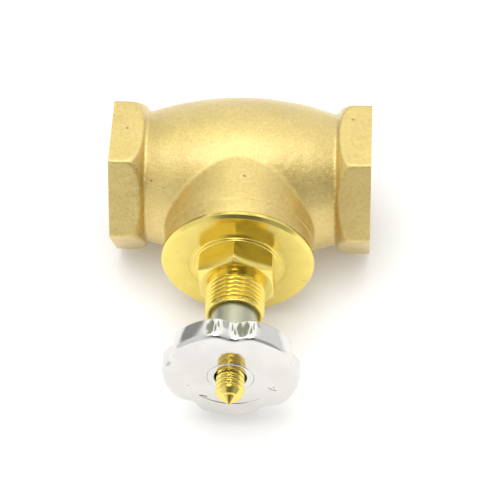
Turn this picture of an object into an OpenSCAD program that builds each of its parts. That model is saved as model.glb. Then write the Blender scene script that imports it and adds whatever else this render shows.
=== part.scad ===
// Globe-pattern lockshield valve for heating pipework: G 1 1/4 female ends, screwed bonnet,
// rising spindle driven by a turning sleeve, five-lobed handwheel.
// The origin is on the pipe axis where the inlet's thread starts, +X runs through the valve to the
// outlet, and the bonnet points along -Y, as the valve lies on a bench. It is drawn fully open.

/* [Body] */
// Length from end face to end face
body_length = 93.5; // [88:0.5:110]
// Width across the flats of the end hexagons
end_hex_af = 50; // [46:0.5:52]
// Length of the hexagon's full corners, from the end face
corner_length = 5.7; // [4:0.1:8]
// Chamfer on the hexagon's corners at the end face
end_chamfer = 0.4; // [0.2:0.1:1]
// Radius that rounds the hexagon's corners down to the barrel
corner_round = 6.7; // [5:0.1:9]
// Distance from the end face to the notch where the barrel starts
notch_from_end = 12; // [11:0.1:14]
// Diameter at the notch
notch_d = 47; // [45.5:0.25:49]
// Diameter of the barrel at its middle
barrel_d = 59; // [55:0.5:60]
// Wall thickness of the barrel
wall = 3.6; // [3:0.1:4]
// Minor diameter of the port threads
port_d = 38.95; // [36:0.05:40]
// Length of the port threads
port_thread_length = 16; // [12:0.5:18]
// Chamfer at the mouth of each port
port_chamfer = 1.5; // [0.5:0.1:2]
// Diameter of the turned branch that takes the bonnet
branch_d = 53.4; // [52:0.1:54]
// Distance from the pipe axis to the branch's face
branch_height = 37.4; // [36:0.1:42]
// Width of the freshly faced band next to the branch's face
branch_band = 5.8; // [3:0.1:8]
// Step of that band below the rest of the branch
branch_band_step = 0.15; // [0.1:0.05:0.4]
// Depth of the branch's internal thread
branch_thread_depth = 1.25; // [1:0.05:1.5]
// Length of smooth relief below the branch's thread
branch_relief = 1.5; // [1:0.1:2.5]
// Chamfer on the branch's face edge
branch_chamfer = 0.7; // [0.3:0.1:1]

/* [Seat] */
// Diameter of the seat opening
seat_bore_d = 26; // [22:0.5:27]
// Distance from the pipe axis to the seat's face
seat_height = 4.5; // [4:0.1:6]
// Width of the seat's raised lip
seat_lip_width = 1.4; // [1:0.1:1.6]
// Height of the lip above the seat ring
seat_lip_height = 0.5; // [0.3:0.1:1]
// Height of the ring that carries the lip
seat_ring_height = 1; // [0.5:0.1:1.5]
// Width of the ring that carries the lip
seat_ring_width = 3.2; // [2.5:0.1:4]
// Thickness of the dividing web
web_thickness = 3; // [2.5:0.1:3.5]
// Distance from the bonnet axis to each bend of the web
web_bend_x = 19.6; // [19:0.1:22]
// How far the web leans outwards from its bend to the wall
web_lean = 4.5; // [2:0.5:7]

/* [Bonnet] */
// Diameter of the flange
flange_d = 54.5; // [54:0.1:56]
// Thickness of the flange at its rim
flange_rim = 1.3; // [1:0.1:2]
// Bevel on the flange's front edge
flange_bevel = 1.2; // [0.8:0.1:1.5]
// Diameter of the faint turned ring on the flange's front
flange_ring_d = 35; // [33:0.5:40]
// Depth of that turned ring
flange_ring_depth = 0.15; // [0.1:0.05:0.3]
// Width across the flats of the bonnet's hexagon
bonnet_hex_af = 26; // [25.5:0.1:27]
// Length of the bonnet's hexagon
bonnet_hex_length = 9.6; // [9:0.1:12]
// Distance from the hexagon's flats to its round front face
bonnet_hex_land = 0.3; // [0.1:0.1:0.6]
// Angle by which the screwed-in bonnet stops past a corner at the top
bonnet_turn = 2; // [0:1:59]
// Diameter of the round collar behind the hexagon
collar_d = 30.8; // [30.6:0.1:32]
// Length of that collar
collar_length = 1.2; // [0.8:0.1:2]
// Outer diameter of the neck's G 1/2 thread
neck_d = 20.95; // [20.5:0.05:21.5]
// Length of the neck
neck_length = 13.4; // [12:0.1:16]
// Length of the smooth relief behind the neck's thread
neck_relief_length = 1.8; // [1:0.1:2.5]
// Depth of that relief and of the neck's thread
neck_relief_depth = 1; // [0.5:0.1:1.1]
// Pitch of the neck's G 1/2 thread, drawn as rings
neck_pitch = 1.814; // [1.5:0.001:2]
// Length of the plain ring at the neck's end
neck_end_ring = 1; // [0.5:0.1:1.5]
// Step from the thread's crests down to that ring
neck_ring_step = 0.6; // [0.4:0.1:0.9]
// Countersink at the neck's mouth
neck_countersink = 1; // [0.5:0.1:1.2]
// Diameter of the spigot screwed into the branch
spigot_d = 41; // [40:0.1:42]
// Length of the spigot
spigot_length = 8; // [6:0.1:9]
// Chamfer on the spigot's end
spigot_chamfer = 0.8; // [0.4:0.1:1.2]
// Small chamfer on the bonnet's turned edges
edge_break = 0.3; // [0.1:0.1:0.4]
// Thickness of the bonnet gasket
gasket_thickness = 0.6; // [0.4:0.1:1]
// How far the gasket's outer edge lies inside the flange's
gasket_inset = 2; // [1:0.1:3]
// Inner diameter of the bonnet's chamber
chamber_d = 22; // [21:0.1:22]
// Thickness of metal over the chamber
chamber_roof = 2.7; // [2.4:0.1:4]

/* [Gland] */
// Travel of the spindle between open and shut
travel = 8; // [6:0.5:8]
// Length of spindle hexagon still guided when the valve is shut
guide_overlap = 3; // [2:0.1:3.5]
// Width across the flats of the housing's nose
nose_af = 17; // [15:0.5:17.5]
// Length of the housing's nose
nose_length = 5.2; // [4:0.1:5.5]
// Diameter of the packing chamber
packing_d = 16; // [14.5:0.1:16.5]
// Number of packing rings
packing_count = 3; // [3:1:3]
// Thickness of one packing ring
packing_thickness = 1.6; // [1.2:0.1:1.8]
// Thickness of the washer under the packing
packing_washer_thickness = 0.8; // [0.5:0.1:1]
// Length of the gland follower
follower_length = 2; // [1.5:0.1:2.5]
// Thickness of the wire of the housing's O-ring
housing_ring_wire = 1.6; // [1.2:0.1:1.8]
// Distance from the nose to the middle of the housing's O-ring
housing_ring_place = 2.2; // [1.8:0.1:3]
// Gap left above the spindle's hexagon when open
guide_play = 0.2; // [0.1:0.1:0.5]

/* [Drive] */
// Outer diameter of the drive sleeve
sleeve_d = 16.2; // [15.8:0.1:16.6]
// Diameter of the sleeve's thrust collar
thrust_collar_d = 20.8; // [20:0.1:20.8]
// Thickness of the thrust collar
thrust_collar_thickness = 2.4; // [2:0.1:3]
// Thickness of each thrust washer
thrust_washer_thickness = 0.6; // [0.4:0.1:0.8]
// Length of the sleeve's internal thread
sleeve_thread_length = 16; // [12:0.5:18]
// Radial clearance of the sleeve's bore outside its thread
sleeve_clear_gap = 0.6; // [0.4:0.1:0.8]
// Thickness of the wire of the sleeve's O-ring
sleeve_ring_wire = 1.1; // [1:0.1:1.4]
// Length of sleeve between the neck and the wheel
sleeve_reach = 17.6; // [12:0.1:19]
// Height of the sleeve's rolled end above the wheel
sleeve_proud = 0.3; // [0.2:0.05:0.6]

/* [Handwheel] */
// Diameter over the lobes
wheel_d = 47.5; // [44:0.5:50]
// Thickness of the rim
wheel_thickness = 8.4; // [7.6:0.1:11]
// Number of lobes
lobe_count = 5; // [4:1:6]
// Depth of the scallops between the lobes
scallop_depth = 2.5; // [1:0.1:3]
// Angle that each scallop spans
scallop_angle = 36; // [28:1:42]
// Angle of the first scallop past the top
scallop_turn = 4.5; // [0:0.5:30]
// Rounding of the rim's front edge
wheel_round = 2.3; // [1:0.1:2.4]
// Thickness of the rim's wall behind the face
rim_wall = 3; // [2.5:0.1:4]
// Thickness of the wheel's face
face_thickness = 3.4; // [2.8:0.1:4.5]
// Diameter of the hub behind the face
hub_d = 23; // [21:0.5:25]
// Thickness of the ribs behind the face
rib_thickness = 2.2; // [1.6:0.1:3]
// Distance from the rim's back edge to the ribs
rib_setback = 1.5; // [0.5:0.1:3]

/* [Spindle] */
// Diameter over the spindle's Tr 10 x 2 thread
spindle_thread_d = 9.8; // [9:0.1:10]
// Pitch of the spindle's thread, drawn as rings
spindle_pitch = 2; // [1.5:0.1:2.5]
// Depth of the spindle's thread
spindle_thread_depth = 0.9; // [0.6:0.05:1]
// Diameter of the smooth spindle in the packing
spindle_d = 10; // [10:0.1:10.4]
// Width across the flats of the spindle's guided hexagon
spindle_hex_af = 10.2; // [10:0.1:10.8]
// Plain length at each end of the spindle's thread
thread_runout = 0.8; // [0.5:0.1:1.5]
// Length of spindle ahead of the wheel's face when open
spindle_reach = 11.4; // [10.5:0.1:16]
// Chamfer at the end of the spindle's thread
spindle_chamfer = 1.6; // [0.5:0.1:2]
// Diameter of the point on the spindle's end
point_d = 4.6; // [3:0.1:6]
// Length of that point
point_length = 2.9; // [2:0.1:4]
// Diameter of the spindle's neck at the disc
spindle_neck_d = 7.4; // [6:0.1:8]
// Diameter of the button that carries the disc
button_d = 12; // [11:0.1:12.5]
// Chamfer on the button's face
button_chamfer = 0.3; // [0.2:0.1:0.5]
// Radial clearance round the button
button_gap = 0.3; // [0.2:0.05:0.4]
// Thickness of the button
button_thickness = 2.4; // [2:0.1:2.6]

/* [Disc] */
// Diameter of the disc holder
holder_d = 33.6; // [33:0.1:35]
// Thickness of the holder's plate
holder_plate = 2; // [1.5:0.1:2.5]
// Width of the lip round the washer
holder_lip_width = 1.4; // [1:0.1:2]
// Height of the lip round the washer
holder_lip_height = 2; // [1:0.1:2.5]
// Diameter of the holder's hub
holder_hub_d = 19; // [18:0.1:20]
// Height of the hub bore's floor above the plate
hub_floor_rise = 0.5; // [0.3:0.1:0.8]
// Width of hub left above the clip
hub_edge = 1.2; // [0.8:0.1:1.5]
// Gap between the hub and the spindle's hexagon
hub_clearance = 0.4; // [0.2:0.1:0.6]
// Thickness of the disc washer
washer_thickness = 3.5; // [3:0.1:4]
// Diameter of the plate that holds the washer
plate_d = 21; // [18:0.5:21]
// Thickness of that plate
plate_thickness = 1.2; // [1:0.1:1.5]
// Diameter of the holder's stud
stud_d = 6; // [5:0.5:6]
// Length of stud past the nut
stud_end = 1; // [0.5:0.1:1.5]
// Width across the flats of the stud's nut
nut_af = 10; // [9:0.5:11]
// Height of the stud's nut
nut_height = 5; // [4:0.1:5]
// Thickness of the wire clip over the button
clip_thickness = 1; // [0.8:0.1:1.2]
// Depth of the clip's groove in the hub
clip_groove_depth = 0.9; // [0.7:0.1:1]
// Opening angle of the clip
clip_gap_angle = 70; // [50:5:90]

/* [Fits] */
// Radial clearance of turning and sliding pieces
running_gap = 0.05; // [0.03:0.01:0.08]
// Radial clearance of screwed and seated pieces
seated_gap = 0.02; // [0.01:0.01:0.04]
// Axial play of the drive sleeve and the disc
end_play = 0.1; // [0.06:0.01:0.15]
// Clearance between the disc washer and its seat when shut
shut_gap = 0.1; // [0.05:0.01:0.2]

/* [Hidden] */
$fn = 96;
ARC_STEPS = 16;
RIM_POINTS = 120;
ROUND_STEPS = 4;
CUT = 1; // how far a cutter runs past the face it opens

// Body
centre_x = body_length / 2;
axis_x = centre_x - port_chamfer; // place of the bonnet axis; x = 0 is where the inlet thread starts
end_corner_r = end_hex_af / sqrt(3);
notch_x = centre_x - notch_from_end;
barrel_rise = (barrel_d - notch_d) / 2;
barrel_arc_r = (pow(notch_x, 2) + pow(barrel_rise, 2)) / (2 * barrel_rise);
port_depth = port_chamfer + port_thread_length;
seat_bore_r = seat_bore_d / 2;
deck_top = seat_height - seat_lip_height - seat_ring_height;
deck_middle = deck_top - web_thickness / 2;

// Bonnet, as distances from the pipe axis
flange_back = branch_height + gasket_thickness;
flange_front = flange_back + flange_rim + flange_bevel;
collar_front = flange_front + collar_length;
hex_front = flange_front + bonnet_hex_length;
neck_front = hex_front + neck_length;
spigot_back = flange_back - spigot_length;
chamber_front = hex_front - chamber_roof;
sleeve_bore_d = sleeve_d + 2 * running_gap;
branch_thread_d = spigot_d + 2 * seated_gap;
branch_bore_d = branch_thread_d - 2 * branch_thread_depth;

// Drive, from the chamber's roof backwards
thrust_front = chamber_front - thrust_washer_thickness - end_play / 2;
thrust_back = thrust_front - thrust_collar_thickness;
housing_front = thrust_back - end_play / 2 - thrust_washer_thickness;
follower_back = housing_front - follower_length;
packing_back = follower_back - packing_count * packing_thickness;
guide_front = packing_back - packing_washer_thickness;
guide_length = travel + guide_overlap;
housing_back = guide_front - guide_length;
nose_front = housing_back + nose_length;
wheel_back = neck_front + sleeve_reach;
wheel_front = wheel_back + wheel_thickness;
sleeve_front = wheel_front + sleeve_proud;
sleeve_ring_middle = chamber_front + neck_length / 2;

// Grooves, with the O-rings' outer edges just inside the bores they seal
housing_ring_middle = nose_front + housing_ring_place;
housing_ring_outer_d = chamber_d - 2 * seated_gap;
housing_groove_d = housing_ring_outer_d - 2 * housing_ring_wire - 2 * seated_gap;
sleeve_ring_outer_d = sleeve_bore_d - running_gap;
sleeve_groove_d = sleeve_ring_outer_d - 2 * sleeve_ring_wire - 2 * seated_gap;

// Spindle, from its point backwards
spindle_front = wheel_front + spindle_reach;
spindle_end = spindle_front - point_length;
hex_zone_front = guide_front - guide_play;
smooth_front = housing_front + travel + thread_runout;
sleeve_thread_back = smooth_front + thread_runout;

// Disc, from the seat upwards
washer_back = seat_height + shut_gap + travel;
plate_back = washer_back - plate_thickness;
nut_back = plate_back - nut_height;
stud_back = nut_back - stud_end;
holder_back = washer_back + washer_thickness;
hub_back = holder_back + holder_plate;
button_back = hub_back + hub_floor_rise + end_play;
button_front = button_back + button_thickness;
clip_back = button_front + end_play;
clip_front = clip_back + clip_thickness;
hub_front = clip_front + hub_edge;
hex_zone_back = hub_front + hub_clearance;
hub_bore_d = button_d + 2 * button_gap;

// ---- placing and basic shapes ----

// Puts shapes drawn about +Z on the pipe axis, with z = 0 at the middle of the body
module on_pipe() {
    translate([axis_x, 0, 0])
        rotate([0, 90, 0])
            children();
}

// Puts shapes drawn about +Z on the bonnet axis, with z = 0 on the pipe axis
module on_bonnet() {
    translate([axis_x, 0, 0])
        rotate([90, 0, 0])
            children();
}

// Points of an arc round [cx, cy] from angle a0 to a1
function arc(cx, cy, r, a0, a1, n = ARC_STEPS) =
    [for (i = [0 : n]) let (a = a0 + (a1 - a0) * i / n) [cx + r * cos(a), cy + r * sin(a)]];

// Outline of a thread's ridges as whole rings between two heights, in (r, z)
function thread_rings(r, depth, pitch, z0, z1) =
    let (turns = floor((z1 - z0) / pitch), start = z0 + (z1 - z0 - turns * pitch) / 2)
    [for (i = [0 : turns - 1], step = [[0.1, 0], [0.4, 1], [0.6, 1], [0.9, 0]])
        [r - step[1] * depth, start + (i + step[0]) * pitch]];

// Cylinder of a given diameter between two heights
module disc(d, z0, z1) {
    translate([0, 0, z0])
        cylinder(d = d, h = z1 - z0);
}

// Flat-sided ring between two heights
module ring(outer_d, inner_d, z0, z1) {
    difference() {
        disc(outer_d, z0, z1);
        disc(inner_d, z0 - CUT, z1 + CUT);
    }
}

// Hexagonal bar between two heights, with a corner on the +X side
module hex_bar(af, z0, z1) {
    translate([0, 0, z0])
        cylinder(r = af / sqrt(3), h = z1 - z0, $fn = 6);
}

// Ring of round wire with its outer edge on diameter d at height z
module wire_ring(d, wire, z) {
    translate([0, 0, z])
        rotate_extrude()
            translate([(d - wire) / 2, 0])
                circle(d = wire, $fn = 24);
}

// Cutter for the groove of such a ring, down to diameter floor_d on a shaft of diameter d
module ring_groove(d, floor_d, wire, z) {
    half_width = wire / 2 + running_gap;
    ring(d + 2 * CUT, floor_d, z - half_width, z + half_width);
}

// ---- body ----

// Solid barrel, thinner than the outer form by inset
module barrel(inset) {
    half_angle = asin(notch_x / barrel_arc_r);
    rotate_extrude()
        polygon(concat([[0, -notch_x]],
            arc(barrel_d / 2 - barrel_arc_r, 0, barrel_arc_r - inset, -half_angle, half_angle, 24),
            [[0, notch_x]]));
}

// Turned form that rounds the corners of one end hexagon, with the end face at z = 0
module corner_form() {
    arc_middle = end_corner_r - corner_round;
    drop_angle = acos(1 - (end_corner_r - notch_d / 2) / corner_round);
    rounded = [for (p = arc(corner_length, arc_middle, corner_round, 90, 90 - drop_angle)) [p[1], p[0]]];
    rotate_extrude()
        polygon(concat([[0, 0], [end_corner_r - end_chamfer, 0], [end_corner_r, end_chamfer]], rounded,
            [[notch_d / 2, notch_from_end + CUT], [0, notch_from_end + CUT]]));
}

// One hexagonal end, with its face at z = 0 and flats above and below the pipe
module body_end() {
    intersection() {
        rotate([0, 0, 30])
            hex_bar(end_hex_af, -CUT, notch_from_end + 2 * CUT);
        corner_form();
    }
}

// Both ends of the body get the same children
module both_ends() {
    for (side = [0, 1])
        mirror([0, 0, side])
            translate([0, 0, -centre_x])
                children();
}

// Threaded port with its mouth at z = 0
module port_bore() {
    disc(port_d, -CUT, port_depth);
    translate([0, 0, -CUT])
        cylinder(d1 = port_d + 2 * (port_chamfer + CUT), d2 = port_d, h = port_chamfer + CUT);
}

// Turned branch, about the bonnet axis
module branch() {
    r = branch_d / 2;
    band_r = r - branch_band_step;
    rotate_extrude()
        polygon([[0, 0], [r, 0], [r, branch_height - branch_band],
            [band_r, branch_height - branch_band], [band_r, branch_height - branch_chamfer],
            [band_r - branch_chamfer, branch_height], [0, branch_height]]);
}

// Unit vector at an angle
function unit(angle) = [cos(angle), sin(angle)];

// Corner of an outline that runs at distance h past a bend, between normals at angles a and b
function mitre(bend, h, a, b) = bend + h / cos((a - b) / 2) * unit((a + b) / 2);

// Z-shaped outline of the web in the plane through both axes, as [x, height]
function web_outline() =
    let (h = web_thickness / 2,
         top = [-web_bend_x - web_lean, barrel_d / 2],
         inlet_bend = [-web_bend_x, deck_middle],
         outlet_bend = [web_bend_x, deck_middle],
         bottom = [web_bend_x + web_lean, -barrel_d / 2],
         a = atan2(inlet_bend[1] - top[1], web_lean),
         b = atan2(bottom[1] - outlet_bend[1], web_lean))
    concat([top + h * unit(a - 90)],
        arc(inlet_bend[0], inlet_bend[1], h, a - 90, -90, 8),
        [mitre(outlet_bend, h, -90, b - 90), bottom + h * unit(b - 90), bottom + h * unit(b + 90)],
        arc(outlet_bend[0], outlet_bend[1], h, b + 90, 90, 8),
        [mitre(inlet_bend, h, a + 90, 90), top + h * unit(a + 90)]);

// Web with the seat's deck in the middle, about the bonnet axis
module web() {
    rotate([90, 0, 0])
        linear_extrude(barrel_d, center = true)
            polygon(web_outline());
}

// Ring and raised lip that the disc washer closes on
module seat() {
    disc(seat_bore_d + 2 * seat_ring_width, deck_top - 0.5, seat_height - seat_lip_height);
    disc(seat_bore_d + 2 * seat_lip_width, deck_top, seat_height);
}

// Outer casting with its two ports and its branch, open from end to end
module valve_body() {
    color("#c9a84e")
        difference() {
            union() {
                on_pipe() {
                    barrel(0);
                    both_ends() body_end();
                }
                on_bonnet() branch();
            }
            on_pipe() {
                intersection() {
                    barrel(wall);
                    disc(barrel_d, -centre_x + port_depth, centre_x - port_depth);
                }
                both_ends() port_bore();
                disc(port_d - 3, -centre_x + port_depth - CUT, centre_x - port_depth + CUT);
            }
            on_bonnet() {
                disc(branch_bore_d, deck_top, branch_height + CUT);
                disc(branch_thread_d, spigot_back - branch_relief, branch_height + CUT);
            }
        }
}

// Web across the casting that carries the seat; cast with the body
module seat_web() {
    color("#c9a84e")
        difference() {
            intersection() {
                on_pipe() barrel(wall + seated_gap);
                on_bonnet() {
                    web();
                    seat();
                }
            }
            on_bonnet() disc(seat_bore_d, -barrel_d / 4, seat_height + CUT);
        }
}

// ---- bonnet ----

module bonnet_gasket() {
    color("#5a3a28")
        on_bonnet() ring(flange_d - 2 * gasket_inset, branch_thread_d, branch_height, flange_back);
}

// Turned outline of the bonnet without its hexagon
module bonnet_turning() {
    flange_r = flange_d / 2;
    ring_r = flange_ring_d / 2;
    neck_r = neck_d / 2;
    relief_r = neck_r - neck_relief_depth;
    relief_front = hex_front + neck_relief_length;
    ring_back = neck_front - neck_end_ring;
    end_ring_r = neck_r - neck_ring_step;
    spigot_r = spigot_d / 2;
    thread_from = relief_front + neck_relief_depth;
    thread_to = ring_back - neck_ring_step;
    flange_outline = [[0, spigot_back], [spigot_r - spigot_chamfer, spigot_back],
        [spigot_r, spigot_back + spigot_chamfer], [spigot_r, flange_back],
        [flange_r, flange_back], [flange_r, flange_back + flange_rim],
        [flange_r - flange_bevel, flange_front], [ring_r, flange_front],
        [ring_r, flange_front - flange_ring_depth], [collar_d / 2, flange_front - flange_ring_depth],
        [collar_d / 2, collar_front], [relief_r, collar_front]];
    neck_end = [[end_ring_r, ring_back], [end_ring_r, neck_front - edge_break],
        [end_ring_r - edge_break, neck_front], [0, neck_front]];
    rotate_extrude()
        polygon(concat(flange_outline, [[relief_r, relief_front], [neck_r, thread_from]],
            thread_rings(neck_r, neck_relief_depth, neck_pitch, thread_from, thread_to),
            [[neck_r, thread_to]], neck_end));
}

// Hexagon with its front corners chamfered at 30 degrees
module bonnet_hexagon() {
    outer_r = bonnet_hex_af / sqrt(3) + CUT;
    face_r = bonnet_hex_af / 2 - bonnet_hex_land;
    chamfer = (outer_r - face_r) * tan(30);
    intersection() {
        rotate([0, 0, 90 + bonnet_turn])
            hex_bar(bonnet_hex_af, collar_front - CUT, hex_front);
        union() {
            disc(2 * outer_r, collar_front - CUT, hex_front - chamfer);
            translate([0, 0, hex_front - chamfer])
                cylinder(r1 = outer_r, r2 = face_r, h = chamfer);
        }
    }
}

module bonnet() {
    countersink_r = sleeve_bore_d / 2 + neck_countersink;
    color("#e0bf35")
        on_bonnet()
            difference() {
                union() {
                    bonnet_turning();
                    bonnet_hexagon();
                }
                disc(chamber_d, spigot_back - CUT, chamber_front);
                disc(sleeve_bore_d, chamber_front - CUT, neck_front + CUT);
                translate([0, 0, neck_front - neck_countersink])
                    cylinder(r1 = sleeve_bore_d / 2, r2 = countersink_r, h = neck_countersink + 0.01);
            }
}

// ---- gland ----

module gland_housing() {
    color("#cfae45")
        on_bonnet()
            difference() {
                union() {
                    disc(chamber_d - 2 * seated_gap, nose_front, housing_front);
                    hex_bar(nose_af, housing_back, nose_front + CUT);
                }
                disc(packing_d, guide_front, housing_front + CUT);
                hex_bar(spindle_hex_af + 2 * running_gap, housing_back - CUT, guide_front + CUT);
                ring_groove(chamber_d, housing_groove_d, housing_ring_wire, housing_ring_middle);
            }
}

module housing_o_ring() {
    color("#202020")
        on_bonnet()
            wire_ring(housing_ring_outer_d, housing_ring_wire, housing_ring_middle);
}

module packing_base_washer() {
    color("#b8963a")
        on_bonnet()
            ring(packing_d - 2 * seated_gap, spindle_d + 2 * running_gap, guide_front, packing_back);
}

// Packing ring number n, counted from the base washer
module packing_ring(n) {
    back = packing_back + (n - 1) * packing_thickness;
    color("#ece8dc")
        on_bonnet()
            ring(packing_d - 2 * seated_gap, spindle_d + 2 * running_gap, back, back + packing_thickness);
}

module gland_follower() {
    color("#d3b24a")
        on_bonnet()
            ring(packing_d - 2 * seated_gap, spindle_d + 2 * running_gap, follower_back, housing_front);
}

// ---- drive ----

// Plastic washer on one side of the sleeve's collar
module thrust_washer(back) {
    color("#e9e4d2")
        on_bonnet()
            ring(chamber_d - 2 * seated_gap, sleeve_d + 2 * running_gap, back,
                back + thrust_washer_thickness);
}

module lower_thrust_washer() {
    thrust_washer(housing_front);
}

module upper_thrust_washer() {
    thrust_washer(chamber_front - thrust_washer_thickness);
}

module drive_sleeve() {
    thread_bore = spindle_thread_d + 2 * running_gap;
    clear_bore = spindle_d + 2 * sleeve_clear_gap;
    sleeve_r = sleeve_d / 2;
    rolled = 0.5;
    thread_front = sleeve_thread_back + sleeve_thread_length;
    color("#aab0a8")
        on_bonnet()
            difference() {
                rotate_extrude()
                    polygon([[clear_bore / 2, housing_front + thrust_washer_thickness + end_play / 2],
                        [thrust_collar_d / 2, thrust_back], [thrust_collar_d / 2, thrust_front],
                        [sleeve_r, thrust_front], [sleeve_r, sleeve_front - rolled],
                        [sleeve_r - rolled, sleeve_front], [clear_bore / 2 + rolled, sleeve_front],
                        [clear_bore / 2, sleeve_front - rolled], [clear_bore / 2, thread_front],
                        [thread_bore / 2, thread_front], [thread_bore / 2, sleeve_thread_back],
                        [clear_bore / 2, sleeve_thread_back]]);
                ring_groove(sleeve_d, sleeve_groove_d, sleeve_ring_wire, sleeve_ring_middle);
            }
}

module sleeve_o_ring() {
    color("#202020")
        on_bonnet()
            wire_ring(sleeve_ring_outer_d, sleeve_ring_wire, sleeve_ring_middle);
}

// ---- handwheel ----

// Depth of the scallops at an angle, from 0 on a lobe to 1 in the middle of a scallop
function scallop(angle) =
    let (step = 360 / lobe_count,
         from_middle = abs(((angle - 90 + scallop_turn) % step + 1.5 * step) % step - step / 2),
         share = min(1, from_middle / (scallop_angle / 2)))
    (1 + cos(180 * share)) / 2;

// Radius of the lobed outline at an angle, drawn in by inset
function lobed_r(angle, inset) = wheel_d / 2 - scallop_depth * scallop(angle) - inset;

// One loop of the lobed outline at height z
function lobed_loop(inset, z) =
    [for (i = [0 : RIM_POINTS - 1]) let (a = 360 * i / RIM_POINTS, r = lobed_r(a, inset))
        [r * cos(a), r * sin(a), z]];

// Solid between loops of the lobed outline, each given as [inset, height]
module lobed_solid(levels) {
    n = RIM_POINTS;
    last = len(levels) - 1;
    points = [for (level = levels) each lobed_loop(level[0], level[1])];
    walls = [for (k = [0 : last - 1], i = [0 : n - 1])
        let (j = (i + 1) % n)
        [k * n + i, (k + 1) * n + i, (k + 1) * n + j, k * n + j]];
    floor_face = [for (i = [0 : n - 1]) i];
    roof_face = [for (i = [0 : n - 1]) last * n + n - 1 - i];
    polyhedron(points, concat([floor_face, roof_face], walls), convexity = 4);
}

// Levels that round one edge of the rim: from the wall up to the face
function edge_levels(z_wall, z_face, radius) =
    [for (i = [0 : ROUND_STEPS]) let (a = 90 * i / ROUND_STEPS)
        [radius * (1 - cos(a)), z_wall + (z_face - z_wall) * sin(a)]];

module handwheel() {
    back_round = 0.8;
    pocket_front = wheel_front - face_thickness;
    back_levels = [for (i = [ROUND_STEPS : -1 : 0])
        edge_levels(wheel_back + back_round, wheel_back, back_round)[i]];
    front_levels = edge_levels(wheel_front - wheel_round, wheel_front, wheel_round);
    color("#d9dbde")
        on_bonnet()
            difference() {
                union() {
                    difference() {
                        lobed_solid(concat(back_levels, front_levels));
                        intersection() {
                            lobed_solid([[rim_wall, wheel_back - CUT], [rim_wall, wheel_front]]);
                            disc(wheel_d, wheel_back - 2 * CUT, pocket_front);
                        }
                    }
                    disc(hub_d, wheel_back, wheel_front - face_thickness / 2);
                    for (i = [0 : lobe_count - 1])
                        rotate([0, 0, 90 - scallop_turn + 360 / lobe_count * (i + 0.5)])
                            translate([hub_d / 2 - CUT, -rib_thickness / 2, wheel_back + rib_setback])
                                cube([(wheel_d - hub_d) / 2 - rim_wall / 2 + CUT, rib_thickness,
                                    wheel_thickness - rib_setback - face_thickness / 2]);
                }
                disc(sleeve_d + 2 * seated_gap, wheel_back - CUT, wheel_front + CUT);
            }
}

// ---- spindle ----

module spindle() {
    thread_r = spindle_thread_d / 2;
    chamfer_back = spindle_end - spindle_chamfer;
    color("#d8b63c")
        on_bonnet() {
            rotate_extrude()
                polygon(concat([[0, button_back], [button_d / 2 - button_chamfer, button_back],
                    [button_d / 2, button_back + button_chamfer], [button_d / 2, button_front],
                    [spindle_neck_d / 2, button_front], [spindle_neck_d / 2, hex_zone_back + CUT],
                    [spindle_neck_d / 2, hex_zone_front - CUT], [spindle_d / 2, hex_zone_front - CUT],
                    [spindle_d / 2, smooth_front], [thread_r, smooth_front]],
                    thread_rings(thread_r, spindle_thread_depth, spindle_pitch, smooth_front + edge_break,
                        chamfer_back),
                    [[thread_r, chamfer_back], [thread_r - spindle_chamfer, spindle_end],
                    [point_d / 2, spindle_end], [0, spindle_front]]));
            hex_bar(spindle_hex_af, hex_zone_back, hex_zone_front);
        }
}

// ---- disc ----

module disc_clip() {
    outer_d = hub_bore_d + 2 * clip_groove_depth - 2 * seated_gap;
    inner_d = spindle_neck_d + 0.4;
    color("#8d9094")
        on_bonnet()
            translate([0, 0, clip_back])
                rotate([0, 0, 270 + clip_gap_angle / 2])
                    rotate_extrude(angle = 360 - clip_gap_angle)
                        translate([inner_d / 2, 0])
                            square([(outer_d - inner_d) / 2, clip_thickness]);
}

module disc_holder() {
    color("#cdab44")
        on_bonnet()
            difference() {
                union() {
                    disc(holder_d, holder_back - holder_lip_height, hub_back);
                    disc(holder_hub_d, holder_back, hub_front);
                    disc(stud_d, stud_back, holder_back);
                }
                ring(holder_d - 2 * holder_lip_width, stud_d, holder_back - holder_lip_height - CUT,
                    holder_back);
                disc(hub_bore_d, hub_back + hub_floor_rise, hub_front + CUT);
                disc(hub_bore_d + 2 * clip_groove_depth, clip_back, clip_front + running_gap);
            }
}

module disc_washer() {
    color("#2b2624")
        on_bonnet()
            ring(holder_d - 2 * holder_lip_width - 2 * seated_gap, stud_d + 2 * seated_gap,
                washer_back, holder_back);
}

module washer_plate() {
    color("#c7a640")
        on_bonnet() ring(plate_d, stud_d + 2 * seated_gap, plate_back, washer_back);
}

module washer_nut() {
    color("#cfae45")
        on_bonnet()
            difference() {
                hex_bar(nut_af, nut_back, plate_back);
                disc(stud_d + 2 * seated_gap, nut_back - CUT, plate_back + CUT);
            }
}

valve_body();
seat_web();
bonnet_gasket();
bonnet();
gland_housing();
housing_o_ring();
packing_base_washer();
packing_ring(1);  // packing_ring_1
packing_ring(2);  // packing_ring_2
packing_ring(3);  // packing_ring_3
gland_follower();
lower_thrust_washer();
upper_thrust_washer();
drive_sleeve();
sleeve_o_ring();
handwheel();
spindle();
disc_clip();
disc_holder();
disc_washer();
washer_plate();
washer_nut();
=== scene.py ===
"""Dresses a globe-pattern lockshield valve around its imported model.

The casting, the turned brass bonnet, the threads, the drive sleeve, the spindle and the lobed
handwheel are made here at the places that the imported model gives. Lengths are in metres. Shapes
are first made about +Z and then put on one of the valve's axes by a matrix, so every object stays
at the origin with its place in its mesh.
"""

from __future__ import annotations

import logging
import math
from dataclasses import asdict, dataclass, fields
from enum import Enum
from typing import Any, NamedTuple, Sequence

import bmesh
import bpy
from mathutils import Matrix, Vector, noise


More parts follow.
